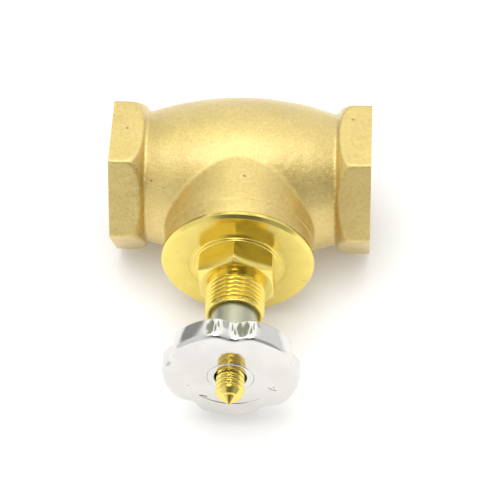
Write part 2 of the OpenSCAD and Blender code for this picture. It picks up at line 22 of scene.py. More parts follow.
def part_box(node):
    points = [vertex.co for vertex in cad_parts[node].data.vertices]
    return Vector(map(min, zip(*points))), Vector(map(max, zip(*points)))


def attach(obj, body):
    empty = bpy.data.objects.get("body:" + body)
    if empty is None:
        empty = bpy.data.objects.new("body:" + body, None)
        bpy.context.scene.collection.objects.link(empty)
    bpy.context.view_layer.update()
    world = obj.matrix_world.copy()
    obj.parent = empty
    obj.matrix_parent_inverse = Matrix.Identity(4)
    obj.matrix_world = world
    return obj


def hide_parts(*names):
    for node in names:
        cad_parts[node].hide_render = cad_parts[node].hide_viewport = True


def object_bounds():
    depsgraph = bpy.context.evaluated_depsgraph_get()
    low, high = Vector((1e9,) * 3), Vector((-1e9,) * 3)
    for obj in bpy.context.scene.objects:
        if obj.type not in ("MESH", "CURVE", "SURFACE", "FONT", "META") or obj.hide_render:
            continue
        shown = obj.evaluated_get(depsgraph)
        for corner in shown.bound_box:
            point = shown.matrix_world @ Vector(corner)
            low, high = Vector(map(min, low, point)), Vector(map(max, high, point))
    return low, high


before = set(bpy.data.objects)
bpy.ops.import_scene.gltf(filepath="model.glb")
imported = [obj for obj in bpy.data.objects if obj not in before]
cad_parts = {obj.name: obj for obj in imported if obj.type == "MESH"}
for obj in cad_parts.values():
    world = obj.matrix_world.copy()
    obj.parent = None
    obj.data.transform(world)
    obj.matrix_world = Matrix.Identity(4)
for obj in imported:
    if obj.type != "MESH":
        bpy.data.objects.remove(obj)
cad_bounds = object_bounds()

log = logging.getLogger("lockshield_valve")

MM = 0.001
TINY = 1e-7
OVER = 1.0 * MM


# ---- node trees written as expressions ----


class Wire:
    """A socket of a node tree, on which arithmetic adds Math nodes."""

    def __init__(self, graph: Graph, socket: bpy.types.NodeSocket) -> None:
        """Wraps one output socket."""
        self.graph = graph
        self.socket = socket

    def maths(self, operation: str, *others: Any) -> Wire:
        """Adds one Math node.

        Args:
            operation: the Math node's operation.
            others: the further values or wires.

        Returns:
            The node's result.
        """
        values = dict(enumerate((self, *others)))
        return self.graph.add("ShaderNodeMath", {"operation": operation}, values)

    def __add__(self, other: Any) -> Wire:
        """Sum."""
        return self.maths("ADD", other)

    __radd__ = __add__

    def __mul__(self, other: Any) -> Wire:
        """Product."""
        return self.maths("MULTIPLY", other)

    __rmul__ = __mul__

    def __sub__(self, other: Any) -> Wire:
        """Difference."""
        return self.maths("SUBTRACT", other)

    def __rsub__(self, other: float) -> Wire:
        """Reflected difference."""
        return (self * -1.0) + other

    def __truediv__(self, other: Any) -> Wire:
        """Quotient."""
        return self.maths("DIVIDE", other)

    def __pow__(self, other: Any) -> Wire:
        """Power."""
        return self.maths("POWER", other)

    def __lt__(self, other: Any) -> Wire:
        """1 where this is less than the other value."""
        return self.maths("LESS_THAN", other)

    def __gt__(self, other: Any) -> Wire:
        """1 where this is greater than the other value."""
        return self.maths("GREATER_THAN", other)

    def clamped(self) -> Wire:
        """Held between 0 and 1."""
        return self.maths("MAXIMUM", 0.0).maths("MINIMUM", 1.0)

    def smooth(self, low: float, high: float) -> Wire:
        """Rises smoothly from 0 at low to 1 at high."""
        inputs = {"Value": self, "From Min": low, "From Max": high}
        return self.graph.add("ShaderNodeMapRange", {"interpolation_type": "SMOOTHSTEP"}, inputs)


class Graph:
    """A shader or geometry node tree under construction."""

    def __init__(self, tree: bpy.types.NodeTree) -> None:
        """Takes an empty tree."""
        self.tree = tree

    def node(self, kind: str, settings: dict | None = None, inputs: dict | None = None) -> bpy.types.Node:
        """Adds a node.

        Args:
            kind: the node's type.
            settings: its own settings.
            inputs: values or wires by socket name or number.

        Returns:
            The node.
        """
        made = self.tree.nodes.new(kind)
        for name, value in (settings or {}).items():
            setattr(made, name, value)
        for key, value in (inputs or {}).items():
            socket = made.inputs[key]
            if isinstance(value, Wire):
                self.tree.links.new(value.socket, socket)
            else:
                socket.default_value = value
        return made

    def add(self, kind: str, settings: dict | None = None, inputs: dict | None = None,
            output: int | str = 0) -> Wire:
        """Adds a node and returns one of its outputs as a wire."""
        return Wire(self, self.node(kind, settings, inputs).outputs[output])

    def split(self, vector: Wire) -> list[Wire]:
        """The three parts of a vector."""
        parts = self.node("ShaderNodeSeparateXYZ", None, {0: vector})
        return [Wire(self, parts.outputs[i]) for i in range(3)]

    def join(self, x: Any, y: Any, z: Any) -> Wire:
        """A vector from three numbers."""
        return self.add("ShaderNodeCombineXYZ", None, {0: x, 1: y, 2: z})

    def mix(self, share: Any, first: Any, second: Any) -> Wire:
        """A colour between first, at share 0, and second, at share 1.

        Args:
            share: the share of the second colour.
            first: a colour or a wire.
            second: a colour or a wire.

        Returns:
            The mixed colour.
        """
        ends = [part if isinstance(part, Wire) else (*part, 1.0) for part in (first, second)]
        inputs = {0: share, 6: ends[0], 7: ends[1]}
        return self.add("ShaderNodeMix", {"data_type": "RGBA"}, inputs, output=2)


def empty_graph(owner: bpy.types.Material | bpy.types.World) -> Graph:
    """Starts an empty node tree for a material or a world."""
    owner.use_nodes = True
    owner.node_tree.nodes.clear()
    return Graph(owner.node_tree)


# ---- the valve's axes and heights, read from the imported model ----


@dataclass(frozen=True)
class Stations:
    """Distances along the pipe axis and, from it, along the bonnet axis."""

    mouth: float
    length: float
    barrel_r: float
    branch_face: float
    spigot_back: float
    flange_r: float
    neck_front: float
    sleeve_back: float
    sleeve_front: float
    wheel_back: float
    wheel_front: float
    wheel_r: float
    spindle_back: float
    spindle_front: float

    @classmethod
    def read(cls) -> Stations:
        """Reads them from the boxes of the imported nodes.

        Returns:
            The stations.
        """
        body_low, body_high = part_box("valve_body")
        bonnet_low, bonnet_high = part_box("bonnet")
        sleeve_low, sleeve_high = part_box("drive_sleeve")
        wheel_low, wheel_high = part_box("handwheel")
        spindle_low, spindle_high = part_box("spindle")
        return cls(
            mouth=body_low.x,
            length=body_high.x - body_low.x,
            barrel_r=body_high.z,
            branch_face=-body_low.y,
            spigot_back=-bonnet_high.y,
            flange_r=bonnet_high.z,
            neck_front=-bonnet_low.y,
            sleeve_back=-sleeve_high.y,
            sleeve_front=-sleeve_low.y,
            wheel_back=-wheel_high.y,
            wheel_front=-wheel_low.y,
            wheel_r=(body_low.x + body_high.x) / 2 - wheel_low.x,
            spindle_back=-spindle_high.y,
            spindle_front=-spindle_low.y,
        )

    @property
    def centre(self) -> float:
        """Place of the bonnet axis on X."""
        return self.mouth + self.length / 2

    @property
    def far_mouth(self) -> float:
        """Place of the outlet's mouth on X."""
        return self.mouth + self.length


class Axis(Enum):
    """An axis of the valve, as the way a local +Z points on it."""

    BONNET = "bonnet"
    INLET = "inlet"
    OUTLET = "outlet"

    def matrix(self, at: Stations) -> Matrix:
        """Puts local shapes on this axis.

        Args:
            at: the valve's stations.

        Returns:
            The placing matrix.
        """
        if self is Axis.BONNET:
            columns = (Vector((1, 0, 0)), Vector((0, 0, 1)), Vector((0, -1, 0)))
            origin = Vector((at.centre, 0, 0))
        elif self is Axis.INLET:
            columns = (Vector((0, 1, 0)), Vector((0, 0, -1)), Vector((-1, 0, 0)))
            origin = Vector((at.mouth, 0, 0))
        else:
            columns = (Vector((0, 1, 0)), Vector((0, 0, 1)), Vector((1, 0, 0)))
            origin = Vector((at.far_mouth, 0, 0))
        turned = Matrix(columns).transposed().to_4x4()
        return Matrix.Translation(origin) @ turned


# ---- meshes ----


class Corner(NamedTuple):
    """A corner of a turned outline: radius, height and the radius that eases it."""

    r: float
    h: float
    ease: float = 0.0


def eased(corners: Sequence[Corner], steps: int = 4) -> list[Vector]:
    """Rounds the corners of a closed outline.

    Args:
        corners: the outline's corners in order.
        steps: segments in each rounding.

    Returns:
        The outline's points.
    """
    points: list[Vector] = []
    for i, corner in enumerate(corners):
        here = Vector((corner.r, corner.h))
        if corner.ease <= 0:
            points.append(here)
            continue
        before = Vector(corners[i - 1][:2]) - here
        after = Vector(corners[(i + 1) % len(corners)][:2]) - here
        half = before.angle(after) / 2
        room = 0.49 * min(before.length, after.length)
        reach = min(corner.ease / math.tan(half), room)
        radius = reach * math.tan(half)
        middle = here + (before.normalized() + after.normalized()).normalized() * (radius / math.sin(half))
        start = here + before.normalized() * reach - middle
        sweep = start.angle_signed(here + after.normalized() * reach - middle)
        for k in range(steps + 1):
            turn = Matrix.Rotation(-sweep * k / steps, 2)
            points.append(middle + turn @ start)
    return points


def loaded(*meshes: bpy.types.Mesh) -> bmesh.types.BMesh:
    """A bmesh that holds several meshes."""
    bm = bmesh.new()
    for mesh in meshes:
        bm.from_mesh(mesh)
    return bm


def to_object(name: str, bm: bmesh.types.BMesh, place: Matrix | None = None) -> bpy.types.Object:
    """Closes a bmesh into an object with outward faces.

    Args:
        name: the object's name.
        bm: the mesh, which is freed.
        place: where the local shape goes.

    Returns:
        The object, at the origin.
    """
    bmesh.ops.remove_doubles(bm, verts=bm.verts, dist=TINY)
    loose = [e for e in bm.edges if not e.link_faces]
    bmesh.ops.delete(bm, geom=loose, context="EDGES")
    bmesh.ops.recalc_face_normals(bm, faces=bm.faces)
    mesh = bpy.data.meshes.new(name)
    bm.to_mesh(mesh)
    bm.free()
    if place is not None:
        mesh.transform(place)
    made = bpy.data.objects.new(name, mesh)
    bpy.context.scene.collection.objects.link(made)
    return made


def lathe(name: str, corners: Sequence[Corner], segments: int,
          place: Matrix | None = None) -> bpy.types.Object:
    """Turns a closed outline about +Z.

    Args:
        name: the object's name.
        corners: the outline's corners.
        segments: divisions of the circle.
        place: where the local shape goes.

    Returns:
        The turned object.
    """
    outline = eased(corners)
    bm = bmesh.new()
    angles = [2 * math.pi * i / segments for i in range(segments)]
    rings = [[bm.verts.new((p.x * math.cos(a), p.x * math.sin(a), p.y)) for a in angles] for p in outline]
    for k, ring in enumerate(rings):
        after = (k + 1) % len(rings)
        following = rings[after]
        if outline[k].x < TINY and outline[after].x < TINY:
            continue
        for i in range(segments):
            j = (i + 1) % segments
            bm.faces.new((ring[i], ring[j], following[j], following[i]))
    return to_object(name, bm, place)


def rod(name: str, radius: float, low: float, high: float, segments: int,
        place: Matrix | None = None) -> bpy.types.Object:
    """Turns a plain cylinder about +Z.

    Args:
        name: the object's name.
        radius: its radius.
        low: the height of its lower end.
        high: the height of its upper end.
        segments: divisions of the circle.
        place: where the local shape goes.

    Returns:
        The cylinder.
    """
    corners = [Corner(0, low), Corner(radius, low), Corner(radius, high), Corner(0, high)]
    return lathe(name, corners, segments, place)


def hexagon_bar(name: str, flats: float, low: float, high: float, ease: float,
                turn: float = 0.0) -> bpy.types.Object:
    """Makes a hexagonal bar about +Z with its long edges eased.

    Args:
        name: the object's name.
        flats: its size across flats.
        low: the height of its lower end.
        high: the height of its upper end.
        ease: the width of the easing.
        turn: the angle of its first corner.

    Returns:
        The bar.
    """
    bm = bmesh.new()
    corner_r = flats / math.sqrt(3)
    angles = [turn + 2 * math.pi * i / 6 for i in range(6)]
    floor = [bm.verts.new((corner_r * math.cos(a), corner_r * math.sin(a), low)) for a in angles]
    base = bm.faces.new(floor)
    risen = bmesh.ops.extrude_face_region(bm, geom=[base])
    top = [v for v in risen["geom"] if isinstance(v, bmesh.types.BMVert)]
    bmesh.ops.translate(bm, verts=top, vec=(0, 0, high - low))
    upright = [e for e in bm.edges if abs(e.verts[0].co.z - e.verts[1].co.z) > TINY]
    bmesh.ops.bevel(bm, geom=upright, offset=ease, segments=3, profile=0.5, affect="EDGES")
    return to_object(name, bm)


def finished(obj: bpy.types.Object) -> bpy.types.Object:
    """Applies an object's modifiers to its mesh."""
    bpy.context.view_layer.update()
    evaluated = obj.evaluated_get(bpy.context.evaluated_depsgraph_get())
    mesh = bpy.data.meshes.new_from_object(evaluated)
    obj.modifiers.clear()
    obj.data = mesh
    return obj


def combine(obj: bpy.types.Object, tool: bpy.types.Object, operation: str) -> None:
    """Applies a boolean with another object, which is used up.

    Args:
        obj: the object to change.
        tool: the other solid.
        operation: DIFFERENCE, UNION or INTERSECT.
    """
    step = obj.modifiers.new("combine", "BOOLEAN")
    step.operation = operation
    step.solver = "MANIFOLD"
    step.object = tool
    finished(obj)
    bpy.data.objects.remove(tool)


def merge(objects: Sequence[bpy.types.Object], name: str) -> bpy.types.Object:
    """Puts several objects' meshes into the first one.

    Args:
        objects: the objects; all but the first are used up.
        name: the new name of the first.

    Returns:
        The first object.
    """
    first, *others = objects
    bm = loaded(*(obj.data for obj in objects))
    bm.to_mesh(first.data)
    bm.free()
    first.name = name
    for obj in others:
        bpy.data.objects.remove(obj)
    return first


def shade(obj: bpy.types.Object, material: bpy.types.Material, sharp: float) -> None:
    """Gives an object its finish and smooth shading.

    Args:
        obj: the object.
        material: its finish.
        sharp: the angle in degrees above which an edge stays sharp.
    """
    mesh = obj.data
    mesh.materials.clear()
    mesh.materials.append(material)
    mesh.polygons.foreach_set("use_smooth", [True] * len(mesh.polygons))
    mesh.polygons.foreach_set("material_index", [0] * len(mesh.polygons))
    mesh.set_sharp_from_angle(angle=math.radians(sharp))


# ---- geometry node trees ----


def geometry_tree(name: str, numbers: Sequence[str]) -> tuple[Graph, dict[str, Wire]]:
    """Starts a geometry node tree with named inputs.

    Args:
        name: the tree's name.
        numbers: the names of its number inputs; one for a material comes after them.

    Returns:
        The graph and its inputs as wires.
    """
    tree = bpy.data.node_groups.new(name, "GeometryNodeTree")
    tree.interface.new_socket("Geometry", in_out="OUTPUT", socket_type="NodeSocketGeometry")
    tree.interface.new_socket("Geometry", in_out="INPUT", socket_type="NodeSocketGeometry")
    for number in numbers:
        tree.interface.new_socket(number, in_out="INPUT", socket_type="NodeSocketFloat")
    tree.interface.new_socket("Material", in_out="INPUT", socket_type="NodeSocketMaterial")
    graph = Graph(tree)
    entry = graph.node("NodeGroupInput")
    wires = {s.name: Wire(graph, s) for s in entry.outputs if s.name}
    return graph, wires


def end_tree(graph: Graph, geometry: Wire, material: Wire) -> bpy.types.NodeTree:
    """Ends a geometry tree in Realize Instances and Set Material."""
    real = graph.add("GeometryNodeRealizeInstances", None, {0: geometry})
    dressed = graph.add("GeometryNodeSetMaterial", None, {"Geometry": real, "Material": material})
    graph.node("NodeGroupOutput", None, {0: dressed})
    return graph.tree


def run_tree(obj: bpy.types.Object, tree: bpy.types.NodeTree, values: dict[str, Any]) -> bpy.types.Object:
    """Runs a geometry tree on an object and keeps the result as its mesh.

    Args:
        obj: the object.
        tree: the geometry tree.
        values: input values by name.

    Returns:
        The object with a plain mesh.
    """
    step = obj.modifiers.new(tree.name, "NODES")
    step.node_group = tree
    for item in tree.interface.items_tree:
        if item.item_type == "SOCKET" and item.in_out == "INPUT" and item.name in values:
            step[item.identifier] = values[item.name]
    return finished(obj)


def input_name(field_name: str) -> str:
    """The name of a tree's input that stands for a field."""
    return field_name.replace("_", " ").title()


class ThreadTree:
    """Geometry tree that winds a screw thread round +Z as one closed solid."""

    rows_per_turn = 14
    segments = 120

    def __init__(self, rows: int) -> None:
        """Builds the tree for a number of rows along the thread."""
        graph, given = geometry_tree("thread", [input_name(f.name) for f in fields(Thread)])
        grid = graph.add("GeometryNodeMeshGrid", None, {
            "Size X": 1.0, "Size Y": 1.0, "Vertices X": self.segments + 1, "Vertices Y": rows})
        x, y, _ = graph.split(graph.add("GeometryNodeInputPosition"))
        around = x + 0.5
        row = (y + 0.5) * (rows - 1.0)
        along = ((row - 1.0) / (rows - 4.0)).clamped() * (row < rows - 1.5)
        height = given["Start"] + given["Length"] * along
        phase = (height / given["Pitch"] - given["Hand"] * around).maths("FRACT")
        ridge = 1.0 - (phase * 2.0 - 1.0).maths("ABSOLUTE")
        rise = ((ridge - given["Land"]) / (1.0 - given["Land"] * 2.0)).smooth(0.0, 1.0)
        thread = given["Root"] + given["Depth"] * rise
        from_front = given["Start"] + given["Length"] - height
        limit = (given["Front Limit"] + from_front).maths(
            "MINIMUM", given["Back Limit"] + height - given["Start"])
        outside = (row > 0.5) * (row < rows - 2.5)
        radius = thread.maths("MINIMUM", limit) * outside + given["Cover"] * (1.0 - outside)
        angle = around * (2 * math.pi)
        place = graph.join(radius * angle.maths("COSINE"), radius * angle.maths("SINE"), height)
        wound = graph.add("GeometryNodeSetPosition", None, {"Geometry": grid, "Position": place})
        closed = graph.add("GeometryNodeMergeByDistance", None, {"Geometry": wound, "Distance": 1e-6})
        self.tree = end_tree(graph, closed, given["Material"])


@dataclass(frozen=True)
class Thread:
    """A screw thread's sizes, in metres."""

    start: float
    length: float
    pitch: float
    root: float
    depth: float
    cover: float
    hand: float = 1.0
    land: float = 0.12
    front_limit: float = 1.0
    back_limit: float = 1.0

    def build(self, name: str, material: bpy.types.Material, place: Matrix) -> bpy.types.Object:
        """Winds the thread.

        Args:
            name: the object's name.
            material: its finish.
            place: where the local shape goes.

        Returns:
            A closed solid with plain mesh.
        """
        rows = int(self.length / self.pitch * ThreadTree.rows_per_turn) + 4
        obj = to_object(name, bmesh.new())
        values = {input_name(key): value for key, value in asdict(self).items()}
        run_tree(obj, ThreadTree(rows).tree, {**values, "Material": material})
        bm = loaded(obj.data)
        bpy.data.objects.remove(obj)
        return to_object(name, bm, place)


def scallop_tree() -> bpy.types.NodeTree:
    """Geometry tree that draws a turned rim in between its lobes.

    Returns:
        The tree.
    """
    inputs = ("Lobes", "First", "Span", "Depth", "Still Radius", "Rim Radius")
    graph, given = geometry_tree("scallops", inputs)
    x, y, z = graph.split(graph.add("GeometryNodeInputPosition"))
    radius = (x * x + y * y).maths("SQRT")
    turn = (y.maths("ARCTAN2", x) - given["First"]) * given["Lobes"] / (2 * math.pi)
    from_middle = ((turn + 0.5).maths("FRACT") - 0.5).maths("ABSOLUTE") * (2 * math.pi) / given["Lobes"]
    share = (from_middle / (given["Span"] * 0.5)).maths("MINIMUM", 1.0)
    dip = ((share * math.pi).maths("COSINE") + 1.0) * 0.5
    reach = (radius - given["Still Radius"]) / (given["Rim Radius"] - given["Still Radius"])
    pull = given["Depth"] * dip * reach.smooth(0.0, 1.0)
    scale = (radius - pull) / radius.maths("MAXIMUM", TINY)
    place = graph.join(x * scale, y * scale, z)
    drawn = graph.add("GeometryNodeSetPosition", None, {"Geometry": given["Geometry"], "Position": place})
    return end_tree(graph, drawn, given["Material"])


def ring_tree() -> bpy.types.NodeTree:
    """Geometry tree that repeats a shape round +Z.

    Returns:
        The tree.
    """
    graph, given = geometry_tree("ring_of_copies", ("Copies", "First"))
    points = graph.add("GeometryNodeMeshLine", None, {"Count": given["Copies"], "Offset": (0, 0, 0)})
    number = graph.add("GeometryNodeInputIndex")
    angle = number * (2 * math.pi) / given["Copies"] + given["First"]
    turned = graph.join(0.0, 0.0, angle)
    copies = graph.add("GeometryNodeInstanceOnPoints", None, {
        "Points": points, "Instance": given["Geometry"], "Rotation": turned})
    return end_tree(graph, copies, given["Material"])


# ---- finishes ----


@dataclass(frozen=True)
class Finish:
    """A metal or plastic surface. Subclasses add what varies over it."""

    name: str
    colour: tuple[float, float, float]
    metallic: float = 1.0
    roughness: float = 0.3
    coat: float = 0.0
    coat_roughness: float = 0.03
    coat_ior: float = 1.5
    cloud_scale: float = 260.0

    def build(self) -> bpy.types.Material:
        """Makes the material.

        Returns:
            The material with its node tree.
        """
        material = bpy.data.materials.new(self.name)
        graph = empty_graph(material)
        shader = graph.node("ShaderNodeBsdfPrincipled", None, {
            "Base Color": (*self.colour, 1.0), "Metallic": self.metallic, "Roughness": self.roughness,
            "Coat Weight": self.coat, "Coat Roughness": self.coat_roughness, "Coat IOR": self.coat_ior})
        place = graph.add("ShaderNodeTexCoord", output="Object")
        for socket, wire in self.vary(graph, place).items():
            graph.tree.links.new(wire.socket, shader.inputs[socket])
        graph.node("ShaderNodeOutputMaterial", None, {"Surface": Wire(graph, shader.outputs[0])})
        return material

    def vary(self, graph: Graph, place: Wire) -> dict[str, Wire]:
        """What changes over the surface, by the shader's socket.

        Args:
            graph: the material's graph.
            place: the point in the valve's own frame.

        Returns:
            Wires by socket name.
        """
        cloud = noise_at(graph, place, self.cloud_scale, 3.0)
        return {"Roughness": cloud * 0.12 + (self.roughness - 0.06),
                "Base Color": graph.mix(cloud, scaled(self.colour, 0.9), scaled(self.colour, 1.06))}


def scaled(colour: Sequence[float], factor: float) -> tuple[float, ...]:
    """A colour made lighter or darker."""
    return tuple(min(1.0, part * factor) for part in colour)


def noise_at(graph: Graph, place: Wire, scale: float, detail: float = 2.0, roughness: float = 0.5) -> Wire:
    """Noise between 0 and 1 at a point."""
    return graph.add("ShaderNodeTexNoise", None, {
        "Vector": place, "Scale": scale, "Detail": detail, "Roughness": roughness})


def bump(graph: Graph, height: Wire, distance: float) -> Wire:
    """A normal bumped by a height of 0 to 1, over a distance."""
    return graph.add("ShaderNodeBump", None, {"Height": height, "Distance": distance, "Strength": 1.0})


def off_axis(graph: Graph, place: Wire, centre: float) -> tuple[Wire, Wire]:
    """Distance of a point from the bonnet axis at x = centre, and its y."""
    x, y, z = graph.split(place)
    return ((x - centre) ** 2.0 + z * z).maths("SQRT"), y


@dataclass(frozen=True)
class BlastedBrass(Finish):
    """Shot-blasted casting: fine sparkling grain, soft mottling and a few dark pits."""

    shadow_colour: tuple[float, float, float] = (0.56, 0.38, 0.05)
    pit_colour: tuple[float, float, float] = (0.14, 0.09, 0.03)
    cloud_scale: float = 90.0
    mottle_scale: float = 900.0
    grain_scale: float = 2300.0
    grain_height: float = 0.13 * MM
    pit_scale: float = 210.0
    pit_share: float = 0.14
    centre: float = 0.0
    branch_r: float = 26.7 * MM
    branch_from: float = 12.0 * MM
    branch_edge: tuple[float, float] = (0.4 * MM, 2.0 * MM)
    branch_fade: float = 4.0 * MM

    def vary(self, graph: Graph, place: Wire) -> dict[str, Wire]:
        """Grain, mottling, pits and the smoother branch."""
        from_axis, y = off_axis(graph, place, self.centre)
        inner, outer = (self.branch_r + margin for margin in self.branch_edge)
        branch = (1.0 - from_axis.smooth(inner, outer)) * \
            (y * -1.0).smooth(self.branch_from, self.branch_from + self.branch_fade)
        grain = graph.add("ShaderNodeTexVoronoi", {"feature": "F1"}, {
            "Vector": place, "Scale": self.grain_scale})
        mottle = noise_at(graph, place, self.mottle_scale, 4.0, 0.65)
        cloud = noise_at(graph, place, self.cloud_scale, 3.0)
        cell = graph.node("ShaderNodeTexVoronoi", {"feature": "F1"}, {
            "Vector": place, "Scale": self.pit_scale})
        rare = graph.split(Wire(graph, cell.outputs["Color"]))[0] > 1.0 - self.pit_share
        pit = (1.0 - Wire(graph, cell.outputs["Distance"]).smooth(0.05, 0.16)) * rare
        tone = (mottle - 0.5) * 1.5 + (cloud - 0.5) * 0.7 + 0.5
        colour = graph.mix(tone.clamped(), self.shadow_colour, self.colour)
        colour = graph.mix(pit * 0.75, colour, self.pit_colour)
        rough = mottle * 0.16 + (self.roughness - 0.08) + branch * 0.06
        height = (grain * 0.7 + mottle * 1.2) * (1.0 - branch * 0.4) - pit * 1.5
        return {"Base Color": colour, "Roughness": rough, "Normal": bump(graph, height, self.grain_height)}


@dataclass(frozen=True)
class TurnedMetal(Finish):
    """Metal from the lathe: fine rings round the bonnet axis, on faces and cylinders alike."""

    centre: float = 0.0
    cloud_scale: float = 170.0
    ring_scale: float = 3200.0
    ring_height: float = 0.012 * MM
    smudge: float = 0.08
    speck: float = 0.0
    speck_scale: float = 620.0
    speck_patches: float = 130.0

    def vary(self, graph: Graph, place: Wire) -> dict[str, Wire]:
        """Rings, smudges and small dark specks."""
        from_axis, y = off_axis(graph, place, self.centre)
        rings = noise_at(graph, graph.join(from_axis, y, 0.0), self.ring_scale, 3.0, 0.7)
        wide = noise_at(graph, graph.join(from_axis, y, 0.0), self.ring_scale / 7.0, 2.0)
        cloud = noise_at(graph, place, self.cloud_scale, 4.0, 0.6)
        spots = graph.add("ShaderNodeTexVoronoi", {"feature": "F1"}, {
            "Vector": place, "Scale": self.speck_scale})
        patch = noise_at(graph, place, self.speck_patches, 1.0).smooth(0.60, 0.72)
        speck = (1.0 - spots.smooth(0.10, 0.30)) * patch * self.speck
        tone = (cloud - 0.5) * 1.2 + (rings - 0.5) * 0.5 + 0.5
        colour = graph.mix(tone.clamped(), scaled(self.colour, 0.86), scaled(self.colour, 1.06))
        colour = graph.mix(speck, colour, scaled(self.colour, 0.35))
        rough = (cloud - 0.5) * self.smudge + (rings - 0.5) * 0.08 + self.roughness + speck * 0.2
        height = rings * 0.7 + wide * 1.6 - speck * 0.5
        return {"Base Color": colour, "Roughness": rough, "Normal": bump(graph, height, self.ring_height)}


@dataclass(frozen=True)
class Chrome(Finish):
    """Polished plating over a casting: mirror gloss with a slight waviness and faint tarnish."""

    wave_scale: float = 150.0
    wave_height: float = 0.16 * MM
    fine_scale: float = 1500.0
    smear_scale: float = 60.0

    def vary(self, graph: Graph, place: Wire) -> dict[str, Wire]:
        """Waviness and light smears."""
        wave = noise_at(graph, place, self.wave_scale, 2.0, 0.4)
        fine = noise_at(graph, place, self.fine_scale, 2.0)
        smear = noise_at(graph, place, self.smear_scale, 4.0, 0.6)
        colour = graph.mix(smear.smooth(0.35, 0.7), self.colour, scaled(self.colour, 0.9))
        rough = smear * 0.07 + self.roughness
        return {"Base Color": colour, "Roughness": rough,
                "Normal": bump(graph, wave + fine * 0.05, self.wave_height)}


@dataclass(frozen=True)
class Rubber(Finish):
    """Moulded rubber or fibre: matte, with fine dust."""

    dust_scale: float = 500.0
    dust_height: float = 0.04 * MM

    def vary(self, graph: Graph, place: Wire) -> dict[str, Wire]:
        """Dust and a fine moulded grain."""
        dust = noise_at(graph, place, self.dust_scale, 4.0)
        colour = graph.mix(dust, scaled(self.colour, 0.8), scaled(self.colour, 1.5))
        return {"Base Color": colour, "Roughness": dust * 0.2 + (self.roughness - 0.1),
                "Normal": bump(graph, dust, self.dust_height)}


class Palette:
    """Every finish of the valve, made once."""

    def __init__(self, at: Stations) -> None:
        """Makes the materials."""
        bright = (0.90, 0.73, 0.20)
        self.cast = BlastedBrass("blasted_brass", (0.82, 0.64, 0.17), roughness=0.44, coat=1.0,
                                 coat_roughness=0.42, coat_ior=2.1,
                                 centre=at.centre).build()
        self.turned = TurnedMetal("turned_brass", bright, roughness=0.19, centre=at.centre,
                                  speck=0.5).build()
        self.inner = TurnedMetal("inner_brass", (0.84, 0.65, 0.26), roughness=0.3,
                                 centre=at.centre).build()
        self.nickel = TurnedMetal("satin_nickel", (0.50, 0.50, 0.38), roughness=0.38, centre=at.centre,
                                  ring_height=0.01 * MM).build()
        self.chrome = Chrome("chrome", (0.74, 0.72, 0.69), roughness=0.05).build()
        self.steel = TurnedMetal("clip_steel", (0.5, 0.51, 0.53), roughness=0.35,
                                 centre=at.centre).build()
        self.rubber = Rubber("black_rubber", (0.025, 0.024, 0.023), metallic=0.0, roughness=0.6).build()
        self.fibre = Rubber("gasket_fibre", (0.16, 0.09, 0.05), metallic=0.0, roughness=0.8).build()
        self.plastic = Finish("seal_plastic", (0.80, 0.78, 0.70), metallic=0.0, roughness=0.4).build()


# ---- the valve's sub-assemblies ----


